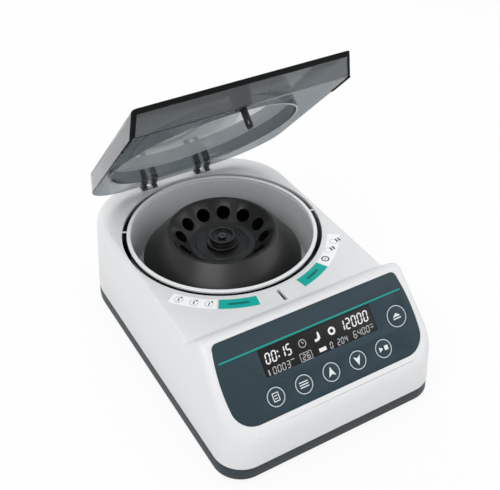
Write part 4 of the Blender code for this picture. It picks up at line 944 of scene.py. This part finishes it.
def make_bore_ring():
    """Cylinders leaning out from a circle, spread evenly round Z."""
    tree, ins, outs = new_tree("bore_ring", "GeometryNodeTree", [
        ("Count", "Int", 12), ("Circle", "Float", 0.03), ("Height", "Float", 0.0), ("Lean", "Float", 0.7),
        ("Radius", "Float", 0.005), ("Length", "Float", 0.03), ("Lead", "Float", 0.005),
        ("Material", "Material", None)], [("Geometry", "Geometry")])
    bore = node(tree, "GeometryNodeMeshCylinder", {
        "Vertices": BORE_STEPS, "Radius": ins["Radius"],
        "Depth": maths(tree, "ADD", ins["Length"], ins["Lead"])})
    sunk = maths(tree, "MULTIPLY", maths(tree, "SUBTRACT", ins["Lead"], ins["Length"]), 0.5)
    lowered = node(tree, "GeometryNodeTransform", {
        "Geometry": bore.outputs["Mesh"], "Translation": vector(tree, Z=sunk)})
    leaned = node(tree, "GeometryNodeTransform", {
        "Geometry": lowered.outputs["Geometry"], "Rotation": vector(tree, X=ins["Lean"]),
        "Translation": vector(tree, Y=ins["Circle"], Z=ins["Height"])})
    points = node(tree, "GeometryNodeMeshLine", {"Count": ins["Count"], "Offset": (0, 0, 0)})
    share = maths(tree, "DIVIDE", node(tree, "GeometryNodeInputIndex").outputs[0], ins["Count"])
    instances = node(tree, "GeometryNodeInstanceOnPoints", {
        "Points": points.outputs["Mesh"], "Instance": leaned.outputs["Geometry"],
        "Rotation": vector(tree, Z=maths(tree, "MULTIPLY", share, 2 * math.pi))})
    real = node(tree, "GeometryNodeRealizeInstances", {"Geometry": instances.outputs["Instances"]})
    painted = node(tree, "GeometryNodeSetMaterial", {
        "Geometry": real.outputs["Geometry"], "Material": ins["Material"]})
    feed(tree, outs, {"Geometry": painted.outputs["Geometry"]})
    return tree


rotor_black = spun_metal("rotor_black", (0.007, 0.007, 0.0072), 0.34, 0.0, 700, 0.10, 0.4)
cone_slope = math.atan2(MOUTH_RISE + WELL_DEPTH, MOUTH_RADIUS - WELL_RADIUS)
mouth_z = -WELL_DEPTH + (SOCKET_CIRCLE - WELL_RADIUS) * math.tan(cone_slope)
profile = [(0, -WELL_DEPTH), (GROOVE_RADIUS - GROOVE_DEPTH, -WELL_DEPTH),
           (GROOVE_RADIUS, -WELL_DEPTH - GROOVE_DEPTH), (GROOVE_RADIUS + GROOVE_DEPTH, -WELL_DEPTH),
           (WELL_RADIUS, -WELL_DEPTH), (MOUTH_RADIUS, MOUTH_RISE), (MOUTH_RADIUS + MOUTH_LAND, MOUTH_RISE),
           (SKIRT_RADIUS, -SKIRT_DROP), (SKIRT_RADIUS, -ROTOR_DROP), (0, -ROTOR_DROP)]
rotor = turned("rotor_body", rounded(profile, ROTOR_ROUND, 3, False), ROUND_STEPS, Matrix.Identity(4))
bores = grow("bores", make_bore_ring(), {
    "Count": SOCKETS, "Circle": SOCKET_CIRCLE, "Height": mouth_z, "Lean": cone_slope,
    "Radius": SOCKET_RADIUS, "Length": SOCKET_LENGTH, "Lead": SOCKET_RADIUS, "Material": rotor_black})
boolean(rotor, bores)
soften(rotor, ROTOR_EDGE, 2, 40)
rotor.data.transform(CHAMBER)
dress(smooth(rotor), rotor_black)
# The bores' insides take a darker, duller black: painted shade deep in the sockets.
rotor.data.materials.append(moulded("socket_painted_shade", (0.002, 0.002, 0.002), 0.8, shine=0.05))
step = 2 * math.pi / SOCKETS
for face in rotor.data.polygons:
    x, y, z = face.center - Vector((0, CHAMBER_Y, DECK_Z + mouth_z))
    turn = math.atan2(y, x) - math.pi / 2
    turn -= round(turn / step) * step
    out, side = math.hypot(x, y) * math.cos(turn) - SOCKET_CIRCLE, math.hypot(x, y) * math.sin(turn)
    depth = out * math.sin(cone_slope) - z * math.cos(cone_slope)
    across = out * math.cos(cone_slope) + z * math.sin(cone_slope)
    if depth > SOCKET_LIP and math.hypot(across, side) < SOCKET_RADIUS + GAP:
        face.material_index = 1
fit(rotor, "spinning_rotor", "rotor_black", "rotor")

# Rotor knob and clamp screw
# A black turned knob with a cup in its top and a wide flange holds the rotor on the motor's shaft by
# a central screw.
KNOB_RADIUS = 0.0113
KNOB_FLANGE_RADIUS = 0.0136
KNOB_WAIST_RADIUS = 0.0098
KNOB_HEIGHT = 0.0080
KNOB_FLANGE_HEIGHT = 0.0030
KNOB_RECESS_RADIUS = 0.0087
KNOB_RECESS = 0.0026
CLAMP_SCREW_RADIUS = 0.0034
CLAMP_SCREW_HEIGHT = 0.0020
CLAMP_SOCKET_RADIUS = 0.0016
CLAMP_SOCKET_DEPTH = 0.0012
KNOB_ROUND = 0.0006
KNOB_STEPS = 96
SCREW_ROUND = 0.0004
SCREW_STEPS = 48
base = GAP - WELL_DEPTH
top, neck = base + KNOB_HEIGHT, base + KNOB_FLANGE_HEIGHT
grip = top - KNOB_RECESS
lean = KNOB_RADIUS - KNOB_WAIST_RADIUS
profile = [(0, grip), (KNOB_RECESS_RADIUS, grip), (KNOB_RECESS_RADIUS, top), (KNOB_RADIUS, top),
           (KNOB_RADIUS, grip), (KNOB_WAIST_RADIUS, grip - lean), (KNOB_WAIST_RADIUS, neck),
           (KNOB_FLANGE_RADIUS, neck - lean / 2), (KNOB_FLANGE_RADIUS, base), (0, base)]
knob_black = spun_metal("knob_black", (0.006, 0.006, 0.006), 0.26, 0.0, 1200, 0.10, 0.4)
knob = turned("knob", rounded(profile, KNOB_ROUND, 4, False), KNOB_STEPS, CHAMBER)
dress(smooth(knob), knob_black)
fit(knob, "spinning_rotor", "rotor_black", "rotor_knob")
low = grip + GAP
high = low + CLAMP_SCREW_HEIGHT
socket = high - CLAMP_SOCKET_DEPTH
profile = [(0, socket), (CLAMP_SOCKET_RADIUS, socket), (CLAMP_SOCKET_RADIUS, high),
           (CLAMP_SCREW_RADIUS, high), (CLAMP_SCREW_RADIUS, low), (0, low)]
blued_steel = spun_metal("blued_steel", (0.10, 0.10, 0.105), 0.35, 1.0, 1600, 0.10)
screw = turned("screw", rounded(profile, SCREW_ROUND, 3, False), SCREW_STEPS, CHAMBER)
dress(smooth(screw), blued_steel)
fit(screw, "spinning_rotor", "steel", "clamp_screw")

# Motor, plates and boards inside
# The hidden works keep their plain forms and get their own finishes: a cast motor on four rubber
# dampers, a steel guard ring, and the boards and power supply in the front of the tray.


def carried(material, *names):
    """Gives CAD nodes that show as they are their finish."""
    for name in names:
        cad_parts[name].data.materials.clear()
        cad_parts[name].data.materials.append(material)


steel = spun_metal("turned_steel", (0.56, 0.56, 0.57), 0.30, 1.0, 1500, 0.10)
cast_aluminium = moulded("cast_aluminium", (0.60, 0.61, 0.62), 0.45, 0.0008, 0.30, 0.10, 0.05)
cast_aluminium.node_tree.nodes["Principled BSDF"].inputs["Metallic"].default_value = 1.0
rubber = moulded("rubber", (0.014, 0.014, 0.015), 0.72, 0.0005, 0.35, 0.10, 0.10, 0.3)
black_plastic = moulded("black_abs", (0.007, 0.007, 0.008), 0.36, 0.0006, 0.12, 0.08, 0.06, 0.3)
board_green = moulded("board_green", (0.020, 0.120, 0.055), 0.40, 0.0012, 0.10, 0.08, 0.15)
carried(steel, "guard_ring", "motor_plate", "motor_shaft", "hinge_pin_left", "hinge_pin_right",
        "hinge_bracket_left", "hinge_bracket_right", "latch_bolt")
carried(cast_aluminium, "motor_housing", "power_supply", "heat_sink")
for corner in ("1", "2", "3", "4"):
    carried(steel, "case_screw_" + corner)
    carried(rubber, "damper_" + corner, "foot_" + corner)
carried(black_plastic, "display_module", "lock_housing", "inlet_socket", "power_switch_frame",
        "power_rocker")
carried(board_green, "panel_board", "drive_board")

# Lid shell
# The lid is one moulding in clear smoked polycarbonate: a flat top, low walls that lean in, a long
# slanted front wall, and a round rear that follows the housing. The foot of its walls is rougher where it
# faces down, and painted darker there as shade along the rim.
LID_OPEN = math.radians(46.2)
HINGE_BACK = 0.0865
HINGE_SINK = 0.0012
LID_RIM = 0.0011
LID_TOP = 0.0156
LID_HALF_LOW = 0.0885
LID_HALF_TOP = 0.0853
LID_FRONT_LOW = 0.1018
LID_FRONT_TOP = 0.1184
LID_REAR_LOW = 0.0825
LID_REAR_TOP = 0.0793
LID_FRONT_RADIUS = 0.0035
LID_REAR_RADIUS = 0.0500
LID_WALL = 0.0025
LID_EDGE = 0.0012
LID_STEPS = 24
EDGE_STEPS = 6
SMOKE_SPREAD = 0.02
RIPPLE_SCALE = 60
FACES_DOWN = -0.9
LID_PLACE = (Matrix.Translation((0, HINGE_Y, HINGE_Z)) @ Matrix.Rotation(-LID_OPEN, 4, "X")
             @ Matrix.Translation((0, -HINGE_BACK, HINGE_SINK)))
FRONT_LEAN = math.atan2(LID_TOP - LID_RIM, LID_FRONT_TOP - LID_FRONT_LOW)


def lid_ring(z, inset):
    """The closed lid's outline at one height over the deck, about the chamber's axis."""
    share = (z - LID_RIM) / (LID_TOP - LID_RIM)
    half = LID_HALF_LOW + (LID_HALF_TOP - LID_HALF_LOW) * share - inset
    front = -LID_FRONT_LOW - (LID_FRONT_TOP - LID_FRONT_LOW) * share + inset / math.sin(FRONT_LEAN)
    rear = LID_REAR_LOW + (LID_REAR_TOP - LID_REAR_LOW) * share - inset
    front_radius = max(LID_FRONT_RADIUS - inset, LID_FRONT_RADIUS / 4)
    outline = rounded_outline(half, front, rear, front_radius, LID_REAR_RADIUS - inset, LID_STEPS)
    return [(x, y, z) for x, y in outline]


def make_smoke(name, colour, roughness, clear):
    """Clear smoked plastic with a faint moulding ripple in its gloss; the rest of it is haze."""
    material, shader = principled(name, colour, roughness)
    tree = material.node_tree
    place = node(tree, "ShaderNodeTexCoord").outputs["Object"]
    ripple = node(tree, "ShaderNodeTexNoise", {"Vector": place, "Scale": RIPPLE_SCALE, "Detail": 2})
    gloss = node(tree, "ShaderNodeMapRange", {
        "Value": ripple.outputs["Fac"], "To Min": roughness, "To Max": roughness + SMOKE_SPREAD})
    feed(tree, shader, {
        "Transmission Weight": clear, "IOR": 1.49, "Roughness": gloss.outputs["Result"]})
    return material


smoke = make_smoke("smoked_polycarbonate", (0.335, 0.365, 0.378), 0.01, 0.93)
rolls = [(LID_TOP - LID_EDGE + LID_EDGE * math.sin(a), LID_EDGE * (1 - math.cos(a)))
         for a in (math.radians(90 * k / EDGE_STEPS) for k in range(EDGE_STEPS + 1))]
lid = loft("lid", [lid_ring(LID_RIM, 0)] + [lid_ring(z, inset) for z, inset in rolls])
boolean(lid, loft("lid_inside", [lid_ring(LID_RIM - PAST, LID_WALL),
                                 lid_ring(LID_TOP - LID_WALL, LID_WALL)]))
dress(smooth(lid, 24), smoke)
lid.data.materials.append(make_smoke("rim_painted_shade", (0.100, 0.110, 0.115), 0.30, 0.8))
# Faces that point down at the walls' foot take the darker smoke: painted shade along the rim's lower edge.
for face in lid.data.polygons:
    if face.normal.z < FACES_DOWN and face.center.z < LID_RIM + GAP:
        face.material_index = 1
lid.data.transform(LID_PLACE)
fit(lid, "lid", "smoke", "lid_shell")

# Lid front trim
# A thin black band wraps the front wall's top edge and its two corners, moulded on in a second shot.
# A short tapering black strip runs on from each corner along the side wall's rim, painted shade on the
# rim's lower edge, and a fine flow line is seen in the front wall.
TRIM_DROP = 0.0034
TRIM_THICKNESS = 0.0010
TRIM_PROUD = 0.00005
LEG_SKIPS = 2
SHADE_STRIP_LENGTH = 0.0270
SHADE_STRIP_WIDTH = 0.0018
SHADE_STRIP_HEIGHT = 0.0008
SHADE_STRIP_INSET = 0.0003
SHADE_STRIP_TIP = 0.0003
SHADE_STRIP_END = 0.0024
LINE_X = 0.0180
LINE_SHARES = (0.20, 0.82)
LINE_WIDTH = 0.0003

levels = [(LID_RIM, 0), (LID_TOP - TRIM_DROP, 0)] + rolls
rings = [lid_ring(z, inset - TRIM_PROUD) for z, inset in levels]
corner = LID_STEPS + 1
path = list(range(3 * corner, 4 * corner)) + list(range(corner))
bm = bmesh.new()
rows = [[bm.verts.new(ring[i]) for i in path] for ring in rings]
for level in range(len(rows) - 1):
    for k in range(len(path) - 1):
        leg = LEG_SKIPS <= k < corner - 1 or corner <= k < len(path) - 1 - LEG_SKIPS
        if level or leg:
            low, high = rows[level], rows[level + 1]
            bm.faces.new((low[k], low[k + 1], high[k + 1], high[k]))
bmesh.ops.delete(bm, geom=[v for v in bm.verts if not v.link_faces], context="VERTS")
trim = new_object("trim", bm, False)
changed(trim, "SOLIDIFY", thickness=TRIM_THICKNESS, offset=-1)
trim.data.transform(LID_PLACE)
trim_and_rim_shade_black = moulded("trim_and_rim_shade_black", (0.004, 0.005, 0.005), 0.55, 0.0006, 0.12, 0.08, 0.06, 0.1)
dress(smooth(trim), trim_and_rim_shade_black)
fit(trim, "lid", "black_plastic", "lid_front_trim")
# Black strips along each side wall's rim, with a small square at their rear end: painted shade on the
# rim's lower edge.
shade_strips = []
for side in (-1, 1):
    out, front = side * (LID_HALF_LOW - SHADE_STRIP_INSET), -LID_FRONT_LOW + LID_FRONT_RADIUS / 2
    inside, tip, rear = out - side * SHADE_STRIP_WIDTH, out - side * SHADE_STRIP_TIP, front + SHADE_STRIP_LENGTH
    shade_strips.append([(out, front), (inside, front), (tip, rear), (out, rear)])
    shade_strips.append([(out, rear), (inside, rear), (inside, rear + SHADE_STRIP_END), (out, rear + SHADE_STRIP_END)])
shade_strip = printed("rim_shade_strips", [(shade_strips, LID_RIM - SHADE_STRIP_HEIGHT, LID_RIM, trim_and_rim_shade_black)], LID_PLACE)
fit(shade_strip, "lid", "black_plastic")
wall_length = math.hypot(LID_TOP - LID_RIM, LID_FRONT_TOP - LID_FRONT_LOW)
WALL_PLACE = (LID_PLACE @ Matrix.Translation((0, -LID_FRONT_LOW, LID_RIM))
              @ Matrix.Rotation(math.pi - FRONT_LEAN, 4, "X"))
line_low, line_high = (wall_length * share for share in LINE_SHARES)
flow_line = printed("flow_line", [([bar(LINE_X, line_low, LINE_X, line_high, LINE_WIDTH)],
                                   0, LABEL_HEIGHT / 2, grey_ink)], WALL_PLACE)
fit(flow_line, "lid", "smoke")

# Lid ring
# A round wall of the same smoked plastic under the lid's top reaches down over the chamber's mouth.
RING_RADIUS = 0.0785
RING_FORWARD = 0.0040
RING_WALL = 0.0020
RING_CLEAR = 0.0022
RING_ROUND = 0.0004
UNDER_TOP = LID_TOP - LID_WALL - GAP
outer = RING_RADIUS + RING_WALL
profile = [(RING_RADIUS, UNDER_TOP), (outer, UNDER_TOP), (outer, RING_CLEAR), (RING_RADIUS, RING_CLEAR)]
lid_wall = turned("lid_wall", rounded(profile, RING_ROUND, 3), ROUND_STEPS,
                  LID_PLACE @ upright(0, -RING_FORWARD, 0), True)
dress(smooth(lid_wall), smoke)
fit(lid_wall, "lid", "smoke", "lid_ring")

# Lid lugs
# Two pairs of thick lugs stand on the lid's rear wall and turn on the hinge pins. The plastic is so
# thick there that it looks nearly black.
LUG_THICKNESS = 0.0040
LUG_SPACING = 0.0096
LUG_EYE_RADIUS = 0.0033
LUG_ROOT = 0.0045
LUG_FRONT = 0.0732
LUG_TAPER = 0.0012
LUG_EDGE = 0.0003
PIN_RADIUS = 0.0014
root = LID_REAR_TOP - LID_WALL / 2
lug_outline = arc(HINGE_BACK, -HINGE_SINK, LUG_EYE_RADIUS, -200, 260, 24) + [
    (root + LUG_EYE_RADIUS, LID_RIM + LUG_ROOT), (root + LID_WALL, LID_TOP - LID_WALL),
    (LUG_FRONT, UNDER_TOP), (LUG_FRONT + LUG_TAPER, LID_RIM + LUG_TAPER)]
dark_smoke = make_smoke("thick_smoked_polycarbonate", (0.060, 0.070, 0.075), 0.06, 0.85)
for side in (-1, 1):
    for offset in (-LUG_SPACING / 2, LUG_SPACING / 2):
        lug = prism("lug", lug_outline, LUG_THICKNESS)
        lug.data.transform(SIDE_VIEW)
        reach = LUG_THICKNESS + PAST
        bore = cylinder("lug_bore", PIN_RADIUS + GAP, reach * 2, Matrix.Translation(
            (-reach, HINGE_BACK, -HINGE_SINK)) @ Matrix.Rotation(math.radians(90), 4, "Y"), 32)
        boolean(lug, bore)
        soften(lug, LUG_EDGE, 2)
        lug.data.transform(LID_PLACE @ upright(side * HINGE_X + offset, 0, 0))
        dress(smooth(lug), dark_smoke)
        fit(lug, "lid", "smoke")

# Latch
# A tapered block of the thick smoked plastic under the lid's front holds a black tongue with a round
# end. It drops through the slot in the deck, where the lock's bolt goes through its eye.
HOOK_LENGTH = 0.0080
HOOK_THICKNESS = 0.0018
HOOK_REACH = 0.0135
HOOK_ROOT = 0.0040
HOOK_EDGE = 0.0004
BLOCK_LOW = 0.0009
BLOCK_TOP_HALF = 0.0056
BLOCK_LOW_HALF = 0.0046
BLOCK_LOW_ENDS = (-0.0046, 0.0046)
BLOCK_TOP_ENDS = (-0.0118, 0.0050)
BLOCK_CORNER = 0.0006
BOLT_RADIUS = 0.0020
BOLT_DROP = 0.0090
sections = [(BLOCK_LOW, BLOCK_LOW_HALF, *BLOCK_LOW_ENDS), (UNDER_TOP, BLOCK_TOP_HALF, *BLOCK_TOP_ENDS)]
rings = []
for z, half, front, rear in sections:
    outline = rounded_outline(half, front, rear, BLOCK_CORNER, BLOCK_CORNER, 4)
    rings.append([(x, y - HOOK_BACK, z) for x, y in outline])
mount = loft("latch_block", rings)
mount.data.transform(LID_PLACE)
dress(smooth(mount), dark_smoke)
fit(mount, "lid", "smoke", "latch_mount")
half, tip = HOOK_LENGTH / 2, HOOK_LENGTH / 3
tongue = arc(tip - half, tip - HOOK_REACH, tip, 180, 90, 10)
tongue += arc(half - tip, tip - HOOK_REACH, tip, -90, 90, 10)
tongue += [(half, BLOCK_LOW + HOOK_ROOT), (-half, BLOCK_LOW + HOOK_ROOT)]
hook = prism("hook", tongue, HOOK_THICKNESS)
boolean(hook, cylinder("eye", BOLT_RADIUS + GAP * 2, PAST, upright(0, -BOLT_DROP, -PAST / 2), 32))
soften(hook, HOOK_EDGE, 2)
hook.data.transform(LID_PLACE @ upright(0, -HOOK_BACK, 0) @ SIDE_VIEW)
dress(smooth(hook), black_plastic)
fit(hook, "lid", "black_plastic", "latch_hook")
